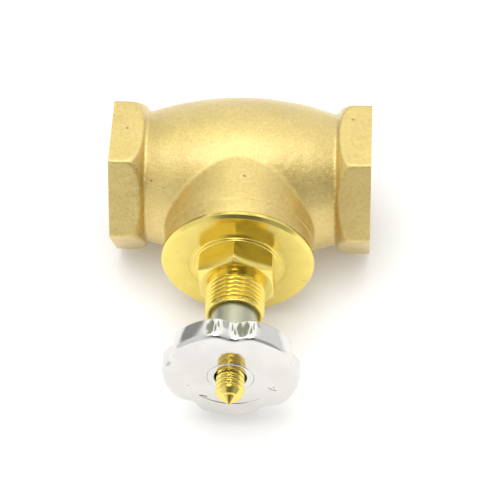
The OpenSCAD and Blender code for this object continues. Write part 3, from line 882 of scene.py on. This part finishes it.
@dataclass
class Casting:
    """The valve body: soft cast forms, faced ends, threaded ports."""

    at: Stations
    palette: Palette
    voxel: float = 0.55 * MM
    extra: float = 1.5 * MM
    smooth_passes: int = 7
    root_passes: int = 14
    root_reach: float = 3.0 * MM
    thread_major_r: float = 20.95 * MM
    thread_crest_r: float = 19.475 * MM
    thread_pitch: float = 2.309 * MM
    port_depth: float = 17.5 * MM
    thread_lead: float = 0.4 * MM
    thread_cover: float = 0.5 * MM
    plug_r: float = 21.6 * MM
    plug_end: float = 1.5 * MM
    notch: float = 12.0 * MM
    notch_r: float = 23.5 * MM
    branch_plug_r: float = 21.2 * MM
    branch_r: float = 26.7 * MM
    branch_from: float = 6.0 * MM
    band_r: float = 26.55 * MM
    band_length: float = 5.8 * MM
    band_chamfer: float = 0.5 * MM
    band_ease: float = 0.1 * MM
    web_swell: float = 0.12 * MM
    wall: float = 3.6 * MM
    branch_bore_r: float = 19.27 * MM
    branch_thread_r: float = 20.52 * MM
    branch_relief: float = 1.5 * MM
    mouth_lead: float = 0.3 * MM
    unevenness: float = 0.10 * MM
    swells: tuple[float, float] = (140.0, 320.0)
    skin_margin: float = 0.02 * MM
    thread_sharp: float = 60.0

    @staticmethod
    def packed_copy(node: str) -> bpy.types.Object:
        """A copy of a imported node's mesh."""
        return to_object(f"{node}_copy", loaded(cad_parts[node].data))

    def web(self) -> bpy.types.Object:
        """A copy of the web cast with the body, which reaches a little into the wall."""
        copy = self.packed_copy("seat_web")
        middle = Matrix.Translation((self.at.centre, 0, 0))
        swell = Matrix.Scale(1.0 + self.web_swell / self.at.barrel_r, 4)
        copy.data.transform(middle @ swell @ middle.inverted())
        return copy

    def barrel_radius(self, x: float) -> float:
        """Outer radius of the barrel at a distance from its middle."""
        half = self.at.length / 2 - self.notch
        rise = self.at.barrel_r - self.notch_r
        arc = (half ** 2 + rise ** 2) / (2 * rise)
        return self.at.barrel_r - arc + math.sqrt(arc ** 2 - x ** 2)

    def bulge(self, half: float, inset: float, steps: int) -> list[Corner]:
        """The barrel's curve, along the inlet's axis.

        Args:
            half: the curve's half length.
            inset: how far inside the barrel's outer face it runs.
            steps: its segments.

        Returns:
            The curve's corners, from the inlet's side to the outlet's.
        """
        stations = [half * (2 * i / steps - 1) for i in range(steps + 1)]
        return [Corner(self.barrel_radius(x) - inset, -x - self.at.length / 2) for x in stations]

    def plug(self) -> list[bpy.types.Object]:
        """Solids that fill the hollows and end inside the walls.

        Returns:
            The pipe's plug and the branch's.
        """
        length, end = self.at.length, self.port_depth + self.plug_end
        bulge = self.bulge(length / 2 - self.notch, self.wall / 2, steps=12)
        corners = [Corner(0, 0), Corner(self.plug_r, 0), Corner(self.plug_r, -self.notch)]
        corners += [c for c in bulge[::-1] if end - length < c.h < -end]
        corners += [Corner(self.plug_r, self.notch - length), Corner(self.plug_r, -length),
                    Corner(0, -length)]
        pipe = lathe("pipe_plug", corners, segments=90, place=Axis.INLET.matrix(self.at))
        branch = rod("branch_plug", self.branch_plug_r, 0, self.at.branch_face, segments=90,
                     place=Axis.BONNET.matrix(self.at))
        return [pipe, branch]

    def skin(self) -> bpy.types.Object:
        """The cast outer form as one solid with softened edges and faced ends."""
        filled = merge([self.packed_copy("valve_body"), self.web(), *self.plug()], "valve_body_skin")
        for vertex in filled.data.vertices:
            if vertex.co.x < self.at.mouth + self.extra / 4:
                vertex.co.x -= self.extra
            elif vertex.co.x > self.at.far_mouth - self.extra / 4:
                vertex.co.x += self.extra
        step = filled.modifiers.new("voxels", "REMESH")
        step.mode = "VOXEL"
        step.voxel_size = self.voxel
        finished(filled)
        self.mark_root(filled)
        for passes, group in ((self.root_passes, "root"), (self.smooth_passes, "")):
            soft = filled.modifiers.new("soft", "SMOOTH")
            soft.factor = 0.5
            soft.iterations = passes
            soft.vertex_group = group
        finished(filled)
        self.roughen(filled)
        bm = loaded(filled.data)
        for x, outward in ((self.at.mouth, -1.0), (self.at.far_mouth, 1.0)):
            cut = bmesh.ops.bisect_plane(bm, geom=[*bm.verts, *bm.edges, *bm.faces], plane_co=(x, 0, 0),
                                         plane_no=(outward, 0, 0), clear_outer=True)
            rim = [e for e in cut["geom_cut"] if isinstance(e, bmesh.types.BMEdge)]
            bmesh.ops.contextual_create(bm, geom=rim)
        bpy.data.objects.remove(filled)
        return to_object("valve_body_skin", bm)

    def mark_root(self, obj: bpy.types.Object) -> None:
        """Weighs the vertices near the line where the branch leaves the barrel."""
        group = obj.vertex_groups.new(name="root")
        for vertex in obj.data.vertices:
            x, y, z = vertex.co
            if y > 0 or abs(x - self.at.centre) > self.branch_r + self.root_reach:
                continue
            off_branch = abs(math.hypot(x - self.at.centre, z) - self.branch_r)
            off_barrel = abs(math.hypot(y, z) - self.barrel_radius(x - self.at.centre))
            weight = 1.0 - max(off_branch, off_barrel) / self.root_reach
            if weight > 0:
                group.add([vertex.index], weight, "REPLACE")

    def roughen(self, obj: bpy.types.Object) -> None:
        """Gives the casting a slight unevenness, inside the barrel's own height."""
        limit = self.at.barrel_r - self.skin_margin
        wide, fine = self.swells
        for vertex, normal in zip(obj.data.vertices, obj.data.vertex_normals):
            swell = noise.noise(vertex.co * wide) + 0.5 * noise.noise(vertex.co * fine)
            vertex.co += normal.vector * (swell * self.unevenness)
            vertex.co.z = max(-limit, min(vertex.co.z, limit))

    def hollows(self) -> list[bpy.types.Object]:
        """The water's way as two turned forms.

        Returns:
            The pipe's, with the ports bored to their threads' roots, and the branch's.
        """
        r, depth, length = self.thread_major_r, self.port_depth, self.at.length
        over, lead = 3 * OVER, self.mouth_lead
        inside = self.bulge(length / 2 - depth, self.wall, steps=24)
        pipe = lathe("pipe_hollow", [
            Corner(0, over), Corner(r + lead + over, over), Corner(r, -lead), Corner(r, -depth), *inside,
            Corner(r, depth - length), Corner(r, lead - length), Corner(r + lead + over, -over - length),
            Corner(0, -over - length)], segments=120, place=Axis.INLET.matrix(self.at))
        relief = self.at.spigot_back - self.branch_relief
        branch = lathe("branch_hollow", [
            Corner(0, self.branch_from), Corner(self.branch_bore_r, self.branch_from),
            Corner(self.branch_bore_r, relief), Corner(self.branch_thread_r, relief),
            Corner(self.branch_thread_r, self.at.branch_face + over),
            Corner(0, self.at.branch_face + over)], segments=110, place=Axis.BONNET.matrix(self.at))
        return [pipe, branch]

    def build(self) -> bpy.types.Object:
        """Makes the casting with its ports' threads.

        Returns:
            The casting.
        """
        body = self.skin()
        face = self.at.branch_face
        band = lathe("branch_band", [
            Corner(0, self.branch_from), Corner(self.branch_r, self.branch_from),
            Corner(self.branch_r, face - self.band_length, self.band_ease),
            Corner(self.band_r, face - self.band_length),
            Corner(self.band_r, face, self.band_chamfer), Corner(0, face)],
            segments=160, place=Axis.BONNET.matrix(self.at))
        combine(body, band, "UNION")
        for hollow in self.hollows():
            combine(body, hollow, "DIFFERENCE")
        body = merge([body, self.web()], "valve_casting")
        shade(body, self.palette.cast, 50.0)
        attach(body, "valve")
        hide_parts("valve_body", "seat_web")
        for axis in (Axis.INLET, Axis.OUTLET):
            name = f"{axis.value}_thread"
            thread = Thread(start=-self.port_depth, length=self.port_depth - self.thread_lead,
                            pitch=self.thread_pitch, root=self.thread_major_r,
                            depth=self.thread_crest_r - self.thread_major_r,
                            cover=self.thread_major_r + self.thread_cover)
            ring = thread.build(name, self.palette.inner, axis.matrix(self.at))
            shade(ring, self.palette.inner, self.thread_sharp)
            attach(ring, "valve")
            log.info("%s: %d faces", name, len(ring.data.polygons))
        return body


@dataclass
class Bonnet:
    """Flange, hexagon and threaded neck, turned from one bar."""

    at: Stations
    palette: Palette
    flange_back: float = 38.0 * MM
    flange_rim: float = 1.3 * MM
    flange_bevel: float = 1.2 * MM
    ring_r: float = 17.5 * MM
    ring_depth: float = 0.15 * MM
    collar_r: float = 15.4 * MM
    collar_length: float = 1.2 * MM
    hex_af: float = 26.0 * MM
    hex_length: float = 9.6 * MM
    hex_turn: float = 2.0
    hex_land: float = 0.3 * MM
    spigot_r: float = 20.5 * MM
    chamber_r: float = 11.0 * MM
    chamber_roof: float = 2.7 * MM
    neck_r: float = 10.475 * MM
    thread_depth: float = 1.05 * MM
    thread_pitch: float = 1.814 * MM
    relief_length: float = 1.8 * MM
    end_ring: float = 1.0 * MM
    end_step: float = 0.6 * MM
    bore_r: float = 8.15 * MM
    countersink: float = 1.0 * MM
    edge: float = 0.18 * MM
    spigot_ease: float = 0.8 * MM
    hex_sunk: float = 0.2 * MM
    hex_ease: float = 0.12 * MM
    worn_edge: float = 0.14 * MM
    worn_angle: float = 24.0
    chamfer_angle: float = 30.0
    thread_overlap: float = 0.4 * MM
    end_groove: float = 0.35 * MM
    end_ease: float = 0.1 * MM

    @property
    def flange_front(self) -> float:
        """Height of the flange's front face."""
        return self.flange_back + self.flange_rim + self.flange_bevel

    @property
    def hex_front(self) -> float:
        """Height of the hexagon's front face."""
        return self.flange_front + self.hex_length

    def turning(self) -> bpy.types.Object:
        """The turned parts up to the neck's relief, with the chamber bored."""
        ring_floor = self.flange_front - self.ring_depth
        relief_r = self.neck_r - self.thread_depth
        r = self.at.flange_r
        e = self.edge
        roof = self.hex_front - self.chamber_roof
        return lathe("bonnet_turning", [
            Corner(self.chamber_r, self.at.spigot_back),
            Corner(self.spigot_r, self.at.spigot_back, self.spigot_ease),
            Corner(self.spigot_r, self.flange_back), Corner(r, self.flange_back, e),
            Corner(r, self.flange_back + self.flange_rim, e),
            Corner(r - self.flange_bevel, self.flange_front, 2 * e),
            Corner(self.ring_r, self.flange_front, e), Corner(self.ring_r, ring_floor, e / 2),
            Corner(self.collar_r, ring_floor, 2 * e),
            Corner(self.collar_r, self.flange_front + self.collar_length, 2 * e),
            Corner(relief_r, self.flange_front + self.collar_length),
            Corner(relief_r, self.hex_front + self.relief_length),
            Corner(self.bore_r, self.hex_front + self.relief_length),
            Corner(self.bore_r, roof), Corner(self.chamber_r, roof)],
            segments=192, place=Axis.BONNET.matrix(self.at))

    def hexagon(self) -> bpy.types.Object:
        """The hexagon, with corners chamfered to its front."""
        corner_r = self.hex_af / math.sqrt(3)
        low = self.flange_front + self.collar_length - self.hex_sunk
        bar = hexagon_bar("bonnet_hexagon", self.hex_af, low, self.hex_front, self.hex_ease,
                          turn=math.radians(90 + self.hex_turn))
        slope = math.tan(math.radians(self.chamfer_angle))
        drop = (corner_r - self.hex_af / 2 + self.hex_land) * slope
        form = lathe("hexagon_form", [
            Corner(0, low - OVER), Corner(corner_r + OVER, low - OVER),
            Corner(corner_r + OVER, self.hex_front - drop), Corner(corner_r, self.hex_front - drop),
            Corner(self.hex_af / 2 - self.hex_land, self.hex_front), Corner(0, self.hex_front)],
            segments=160)
        combine(bar, form, "INTERSECT")
        bore = rod("hexagon_bore", self.bore_r, low - 2 * OVER, self.hex_front + OVER, segments=96)
        combine(bar, bore, "DIFFERENCE")
        bar.data.transform(Axis.BONNET.matrix(self.at))
        step = bar.modifiers.new("worn_edges", "BEVEL")
        step.width = self.worn_edge
        step.segments = 2
        step.limit_method = "ANGLE"
        step.angle_limit = math.radians(self.worn_angle)
        return finished(bar)

    def neck(self) -> list[bpy.types.Object]:
        """The threaded neck and the plain ring at its end."""
        start = self.hex_front + self.relief_length - self.thread_overlap
        ring_back = self.at.neck_front - self.end_ring
        root = self.neck_r - self.thread_depth
        place = Axis.BONNET.matrix(self.at)
        thread = Thread(start=start, length=ring_back - start + 0.05 * MM, pitch=self.thread_pitch,
                        root=root, depth=self.thread_depth, cover=self.bore_r, land=0.16,
                        front_limit=self.neck_r - self.end_step, back_limit=root)
        mouth_r = self.bore_r + self.countersink
        end_r = self.neck_r - self.end_step
        groove_r = end_r - self.end_groove
        sunk = ring_back - self.end_ring / 2
        ring = lathe("neck_end", [
            Corner(self.bore_r, sunk), Corner(groove_r, sunk), Corner(groove_r, ring_back),
            Corner(end_r, ring_back + self.end_ease, self.end_ease),
            Corner(end_r, self.at.neck_front, 3 * self.end_ease),
            Corner(mouth_r, self.at.neck_front, 0.6 * self.end_ease),
            Corner(self.bore_r, self.at.neck_front - self.countersink)], segments=128, place=place)
        return [thread.build("neck_thread", self.palette.turned, place), ring]

    def build(self) -> bpy.types.Object:
        """Makes the bonnet.

        Returns:
            The bonnet.
        """
        bonnet = merge([self.turning(), self.hexagon(), *self.neck()], "bonnet_turned")
        shade(bonnet, self.palette.turned, 32.0)
        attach(bonnet, "valve")
        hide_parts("bonnet")
        return bonnet


@dataclass
class Spindle:
    """The rising spindle: left-hand thread, small point, smooth shank, hexagon and button."""

    at: Stations
    palette: Palette
    thread_r: float = 4.9 * MM
    thread_depth: float = 0.85 * MM
    pitch: float = 2.0 * MM
    thread_back: float = 52.4 * MM
    chamfer: float = 1.6 * MM
    point_r: float = 2.3 * MM
    point_length: float = 2.9 * MM
    shank_r: float = 5.0 * MM
    hex_af: float = 10.2 * MM
    hex_front: float = 35.9 * MM
    hex_back: float = 23.8 * MM
    neck_r: float = 3.7 * MM
    button_front: float = 21.1 * MM
    button_r: float = 6.0 * MM
    edge: float = 0.1 * MM
    tip_r: float = 0.15 * MM
    tip_gap: float = 0.02 * MM

    def build(self) -> bpy.types.Object:
        """Makes the spindle.

        Returns:
            The spindle.
        """
        place = Axis.BONNET.matrix(self.at)
        end = self.at.spindle_front - self.point_length
        thread = Thread(start=self.thread_back, length=end - self.thread_back, pitch=self.pitch,
                        root=self.thread_r - self.thread_depth, depth=self.thread_depth, cover=0.0,
                        hand=-1.0, land=0.2, front_limit=self.thread_r - self.chamfer,
                        back_limit=self.neck_r)
        wound = thread.build("spindle_thread", self.palette.turned, place)
        shank = lathe("spindle_shank", [
            Corner(0, self.at.spindle_back), Corner(self.button_r, self.at.spindle_back, 3 * self.edge),
            Corner(self.button_r, self.button_front, 2 * self.edge),
            Corner(self.neck_r, self.button_front), Corner(self.neck_r, self.hex_front - OVER),
            Corner(self.shank_r, self.hex_front - OVER),
            Corner(self.shank_r, self.thread_back, 3 * self.edge), Corner(0, self.thread_back)],
            segments=96, place=place)
        bar = hexagon_bar("spindle_hexagon", self.hex_af, self.hex_back, self.hex_front, self.edge)
        bar.data.transform(place)
        point = lathe("spindle_point", [
            Corner(0, end - OVER), Corner(self.point_r, end - OVER),
            Corner(self.point_r, end, 2 * self.edge),
            Corner(self.tip_r, self.at.spindle_front - self.edge, self.edge),
            Corner(0, self.at.spindle_front - self.tip_gap)], segments=64, place=place)
        spindle = merge([wound, shank, bar, point], "spindle_turned")
        shade(spindle, self.palette.turned, 40.0)
        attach(spindle, "stem")
        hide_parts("spindle")
        return spindle


@dataclass
class DriveSleeve:
    """The satin sleeve, with its end rolled over in the wheel's face."""

    at: Stations
    palette: Palette
    outer_r: float = 8.1 * MM
    bore_r: float = 5.6 * MM
    thread_bore_r: float = 4.95 * MM
    thread_back: float = 53.3 * MM
    thread_length: float = 16.0 * MM
    collar_r: float = 10.4 * MM
    collar_length: float = 2.4 * MM
    rolled_depth: float = 0.6 * MM
    rolled_ease: float = 0.5 * MM
    collar_ease: float = 0.2 * MM

    def build(self) -> bpy.types.Object:
        """Makes the sleeve.

        Returns:
            The sleeve.
        """
        back = self.at.sleeve_back
        collar_front = back + self.collar_length
        thread_front = self.thread_back + self.thread_length
        sleeve = lathe("drive_sleeve_plated", [
            Corner(self.bore_r, back), Corner(self.collar_r, back, self.collar_ease),
            Corner(self.collar_r, collar_front, self.collar_ease), Corner(self.outer_r, collar_front),
            Corner(self.outer_r, self.at.sleeve_front, self.rolled_ease),
            Corner(self.bore_r, self.at.sleeve_front, self.rolled_ease),
            Corner(self.bore_r, thread_front),
            Corner(self.thread_bore_r, thread_front), Corner(self.thread_bore_r, self.thread_back),
            Corner(self.bore_r, self.thread_back)], segments=128, place=Axis.BONNET.matrix(self.at))
        shade(sleeve, self.palette.nickel, 40.0)
        sleeve.data.materials.append(self.palette.chrome)
        for face in sleeve.data.polygons:
            at_end = -face.center.y > self.at.sleeve_front - self.rolled_depth
            face.material_index = int(at_end)
        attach(sleeve, "wheel")
        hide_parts("drive_sleeve")
        return sleeve


@dataclass
class Handwheel:
    """The chromed wheel: five lobes, a mirror face, and ribs in its hollow back."""

    at: Stations
    palette: Palette
    lobes: int = 5
    scallop_depth: float = 2.5 * MM
    scallop_span: float = 36.0
    scallop_turn: float = 4.5
    front_round: float = 2.3 * MM
    back_round: float = 0.8 * MM
    hub_ease: float = 0.5 * MM
    hub_fillet: float = 0.8 * MM
    rim_fillet: float = 1.2 * MM
    rim_ease: float = 0.6 * MM
    face_rings: tuple[float, ...] = (20.0 * MM, 18.5 * MM, 17.0 * MM, 15.0 * MM, 12.5 * MM, 10.0 * MM)
    rim_wall: float = 3.0 * MM
    face_thickness: float = 3.4 * MM
    hub_r: float = 11.5 * MM
    bore_r: float = 8.12 * MM
    rib_thickness: float = 2.2 * MM
    rib_setback: float = 1.5 * MM
    rib_round: float = 0.4 * MM

    @property
    def first(self) -> float:
        """Angle of the first scallop's middle."""
        return math.radians(90 - self.scallop_turn)

    def rim(self) -> bpy.types.Object:
        """The turned blank with its scallops drawn in."""
        r = self.at.wheel_r
        back = self.at.wheel_back
        front = self.at.wheel_front
        floor = front - self.face_thickness
        inner = r - self.rim_wall
        corners = [Corner(self.bore_r, back), Corner(self.hub_r, back, self.hub_ease),
                   Corner(self.hub_r, floor, self.hub_fillet), Corner(inner, floor, self.rim_fillet),
                   Corner(inner, back, self.rim_ease), Corner(r, back, self.back_round),
                   Corner(r, front, self.front_round),
                   *(Corner(radius, front) for radius in self.face_rings), Corner(self.bore_r, front)]
        blank = lathe("wheel_blank", corners, segments=360)
        return run_tree(blank, scallop_tree(), {
            "Lobes": float(self.lobes), "First": self.first, "Span": math.radians(self.scallop_span),
            "Depth": self.scallop_depth, "Still Radius": self.hub_r, "Rim Radius": inner,
            "Material": self.palette.chrome})

    def ribs(self) -> bpy.types.Object:
        """The ribs behind the face, one to each lobe."""
        bm = bmesh.new()
        low = self.at.wheel_back + self.rib_setback
        high = self.at.wheel_front - self.face_thickness / 2
        start = self.hub_r - OVER
        end = self.at.wheel_r - self.rim_wall / 2
        size = Vector((end - start, self.rib_thickness, high - low))
        middle = Vector(((start + end) / 2, 0, (low + high) / 2))
        block = Matrix.Translation(middle) @ Matrix.Diagonal(size).to_4x4()
        bmesh.ops.create_cube(bm, size=1.0, matrix=block)
        edges = [e for e in bm.edges if all(v.co.z < middle.z for v in e.verts)]
        bmesh.ops.bevel(bm, geom=edges, offset=self.rib_round, segments=3, profile=0.5, affect="EDGES")
        rib = to_object("wheel_rib", bm)
        half_lobe = math.pi / self.lobes
        return run_tree(rib, ring_tree(), {
            "Copies": float(self.lobes), "First": self.first + half_lobe,
            "Material": self.palette.chrome})

    def build(self) -> bpy.types.Object:
        """Makes the wheel.

        Returns:
            The wheel.
        """
        wheel = merge([self.rim(), self.ribs()], "handwheel_plated")
        wheel.data.transform(Axis.BONNET.matrix(self.at))
        shade(wheel, self.palette.chrome, 40.0)
        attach(wheel, "wheel")
        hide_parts("handwheel")
        return wheel


@dataclass
class DirectionMarks:
    """Raised plus, minus and turning arrow on the wheel's face."""

    at: Stations
    palette: Palette
    circle_r: float = 15.6 * MM
    size: float = 3.0 * MM
    stroke: float = 0.5 * MM
    height: float = 0.2 * MM
    sunk: float = 0.2 * MM
    top_share: float = 0.55
    shoulder_share: float = 0.3
    minus_at: float = 205.0
    plus_at: float = -25.0
    arrow_from: float = 228.0
    arrow_to: float = 308.0
    arrow_steps: int = 24
    barb_back: float = 6.0
    barb_spread: float = 0.4

    def strip(self, path: Sequence[Vector]) -> bpy.types.Object:
        """A raised line along points of the face, narrower on top."""
        bm = bmesh.new()
        level = self.at.wheel_front
        rise = ((1.0, -self.sunk), (1.0, self.shoulder_share * self.height), (self.top_share, self.height))
        places = [*rise, *((-share, height) for share, height in rise[::-1])]
        sections = []
        for i, point in enumerate(path):
            along = (path[min(i + 1, len(path) - 1)] - path[max(i - 1, 0)]).normalized()
            side = Vector((-along.y, along.x)) * (self.stroke / 2)
            sections.append([bm.verts.new((*(point + side * k), level + h)) for k, h in places])
        for first, second in zip(sections, sections[1:]):
            for k in range(6):
                j = (k + 1) % 6
                bm.faces.new((first[k], first[j], second[j], second[k]))
        bm.faces.new(sections[0])
        bm.faces.new(sections[-1])
        return to_object("mark", bm)

    def spot(self, degrees: float, radius: float | None = None) -> Vector:
        """A point of the face at an angle."""
        turn = math.radians(degrees)
        return Vector((math.cos(turn), math.sin(turn))) * (radius or self.circle_r)

    def bar(self, degrees: float, across: bool) -> bpy.types.Object:
        """A straight stroke along the circle, or across it."""
        middle = self.spot(degrees)
        way = middle.normalized() if across else Vector((-middle.y, middle.x)).normalized()
        return self.strip([middle - way * self.size / 2, middle + way * self.size / 2])

    def build(self) -> bpy.types.Object:
        """Makes the marks.

        Returns:
            The marks as one piece.
        """
        sweep = (self.arrow_to - self.arrow_from) / self.arrow_steps
        arc = [self.spot(self.arrow_from + sweep * i) for i in range(self.arrow_steps + 1)]
        point = self.spot(self.arrow_from - sweep)
        parts = [self.bar(self.minus_at, across=False), self.bar(self.plus_at, across=False),
                 self.bar(self.plus_at, across=True), self.strip(arc)]
        for side in (-1, 1):
            barb_r = self.circle_r + side * self.size * self.barb_spread
            back = self.spot(self.arrow_from + self.barb_back, barb_r)
            parts.append(self.strip([point, back]))
        marks = merge(parts, "direction_marks")
        marks.data.transform(Axis.BONNET.matrix(self.at))
        shade(marks, self.palette.chrome, 30.0)
        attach(marks, "wheel")
        return marks


@dataclass
class SmallParts:
    """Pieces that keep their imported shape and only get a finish."""

    palette: Palette
    fibre: tuple[str, ...] = ("bonnet_gasket",)
    steel: tuple[str, ...] = ("disc_clip",)
    rubber: tuple[str, ...] = ("housing_o_ring", "sleeve_o_ring", "disc_washer")
    plastic: tuple[str, ...] = ("packing_ring_1", "packing_ring_2", "packing_ring_3",
                                "lower_thrust_washer", "upper_thrust_washer")
    inner: tuple[str, ...] = ("gland_housing", "packing_base_washer", "gland_follower", "disc_holder",
                              "washer_plate", "washer_nut")

    def build(self) -> None:
        """Gives each piece the finish that its field is named for."""
        for finish in ("fibre", "steel", "rubber", "plastic", "inner"):
            for node in getattr(self, finish):
                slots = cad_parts[node].data.materials
                slots.clear()
                slots.append(getattr(self.palette, finish))
                log.info("%s: %s", node, finish)


# ---- studio ----


class Patch(NamedTuple):
    """A patch of the room: its middle, the cosines at its edge and heart, and how dark it is."""

    middle: tuple[float, float, float]
    edge: float
    heart: float
    depth: float


@dataclass
class Studio:
    """Camera, floor, lamps and surroundings."""

    at: Stations
    aim_right: float = 4.1 * MM
    aim_front: float = 33.5 * MM
    azimuth: float = 4.5
    elevation: float = 51.5
    roll: float = 2.34
    distance: float = 0.8538
    lens: float = 172.1
    sensor: float = 36.0
    floor_half: float = 6.0
    floor_glow: float = 0.08
    floor_white: float = 0.88
    key_watts: float = 4.2
    key_size: float = 0.75
    key_place: tuple[float, float, float] = (-0.08, -0.06, 0.9)
    sky: float = 1.0
    mirrored: float = 0.9
    right: Patch = Patch((0.68, -0.58, 0.42), 0.80, 0.93, 0.5)
    left: Patch = Patch((-0.72, 0.66, 0.20), 0.93, 0.98, 0.6)
    window: Patch = Patch((0.0, 0.62, 0.78), 0.72, 0.90, -0.55)
    shutter_depth: float = 1.05
    shutter_tint: tuple[float, float, float] = (0.84, 0.92, 0.66)
    ripple_scale: float = 3.4

    @property
    def aim(self) -> Vector:
        """The point that the camera looks at."""
        return Vector((self.at.centre + self.aim_right, -self.aim_front, 0.0))

    def camera(self) -> None:
        """Places the camera at its angle to the valve."""
        yaw = -math.radians(self.azimuth)
        pitch = math.radians(self.elevation)
        level = Vector((math.sin(yaw), math.cos(yaw), 0.0)) * math.cos(pitch)
        forward = level - Vector((0.0, 0.0, math.sin(pitch)))
        data = bpy.data.cameras.new("camera")
        data.lens = self.lens
        data.sensor_width = self.sensor
        data.clip_end = 50.0
        camera = bpy.data.objects.new("camera", data)
        turned = forward.to_track_quat("-Z", "Y").to_matrix().to_4x4()
        camera.matrix_world = (Matrix.Translation(self.aim - forward * self.distance) @ turned
                               @ Matrix.Rotation(-math.radians(self.roll), 4, "Z"))
        bpy.context.scene.collection.objects.link(camera)
        bpy.context.scene.camera = camera

    def floor(self) -> None:
        """A plain pale floor just under the valve, lit a little from below like a light table."""
        half = self.floor_half
        bm = bmesh.new()
        level = cad_bounds[0][2]
        corners = [(-half, -half), (half, -half), (half, half), (-half, half)]
        bm.faces.new([bm.verts.new((x, y, level)) for x, y in corners])
        obj = to_object("studio_floor", bm)
        material = bpy.data.materials.new("pale_floor")
        graph = empty_graph(material)
        white = (self.floor_white, self.floor_white, self.floor_white, 1.0)
        plain = graph.add("ShaderNodeBsdfDiffuse", None, {"Color": white})
        lit = graph.add("ShaderNodeEmission", None, {"Color": (1, 1, 1, 1), "Strength": self.floor_glow})
        shader = graph.add("ShaderNodeAddShader", None, {0: plain, 1: lit})
        graph.node("ShaderNodeOutputMaterial", None, {"Surface": shader})
        obj.data.materials.append(material)

    def lamp(self, name: str, place: Vector, size: float, watts: float) -> None:
        """Adds a soft square lamp that faces the valve.

        Args:
            name: the lamp's name.
            place: where it hangs, from the aim.
            size: the length of its side.
            watts: its power.
        """
        data = bpy.data.lights.new(name, "AREA")
        data.shape = "SQUARE"
        data.size = size
        data.energy = watts
        lamp = bpy.data.objects.new(name, data)
        lamp.location = self.aim + place
        lamp.rotation_euler = (-place).to_track_quat("-Z", "Y").to_euler()
        bpy.context.scene.collection.objects.link(lamp)

    @property
    def front(self) -> Patch:
        """The dark patch round the camera."""
        pitch = math.radians(self.elevation)
        return Patch((0.0, -math.cos(pitch), math.sin(pitch)), 0.78, 0.95, 0.85)

    @staticmethod
    def inside(patch: Patch, graph: Graph, direction: Wire) -> Wire:
        """How far a direction is inside a patch, from 0 to 1."""
        inputs = {0: direction, 1: Vector(patch.middle).normalized()}
        cosine = graph.add("ShaderNodeVectorMath", {"operation": "DOT_PRODUCT"}, inputs, output="Value")
        return cosine.smooth(patch.edge, patch.heart)

    def surroundings(self) -> None:
        """A white room with darker patches that only reflections show."""
        world = bpy.data.worlds.new("white_room")
        bpy.context.scene.world = world
        graph = empty_graph(world)
        direction = graph.add("ShaderNodeTexCoord", output="Generated")
        window = self.inside(self.window, graph, direction)
        ripple = noise_at(graph, direction, self.ripple_scale, 1.0)
        shutter = window * ripple.smooth(0.52, 0.60)
        dark = 1.0 - window * self.window.depth - shutter * self.shutter_depth
        for patch in (self.front, self.right, self.left):
            dark = dark * (1.0 - self.inside(patch, graph, direction) * patch.depth)
        path = graph.node("ShaderNodeLightPath")
        camera_ray = Wire(graph, path.outputs["Is Camera Ray"])
        glossy_ray = Wire(graph, path.outputs["Is Glossy Ray"])
        level = glossy_ray * dark * self.mirrored + (1.0 - glossy_ray) * self.sky
        strength = camera_ray + (1.0 - camera_ray) * level
        tint = graph.mix(shutter * glossy_ray, (1.0, 1.0, 1.0), self.shutter_tint)
        shader = graph.add("ShaderNodeBackground", None, {"Color": tint, "Strength": strength})
        graph.node("ShaderNodeOutputWorld", None, {"Surface": shader})

    def build(self) -> None:
        """Sets up the whole studio."""
        self.camera()
        self.floor()
        self.surroundings()
        self.lamp("key", Vector(self.key_place), self.key_size, self.key_watts)
        bpy.context.scene.view_settings.view_transform = "Standard"


def main() -> None:
    """Builds the valve and its studio."""
    logging.basicConfig(level=logging.INFO, format="%(name)s %(message)s")
    at = Stations.read()
    Studio(at).build()
    palette = Palette(at)
    for maker in (Casting, Bonnet, Spindle, DriveSleeve, Handwheel, DirectionMarks):
        piece = maker(at, palette).build()
        log.info("%s: %d faces", piece.name, len(piece.data.polygons))
    SmallParts(palette).build()


if __name__ == "__main__":
    main()
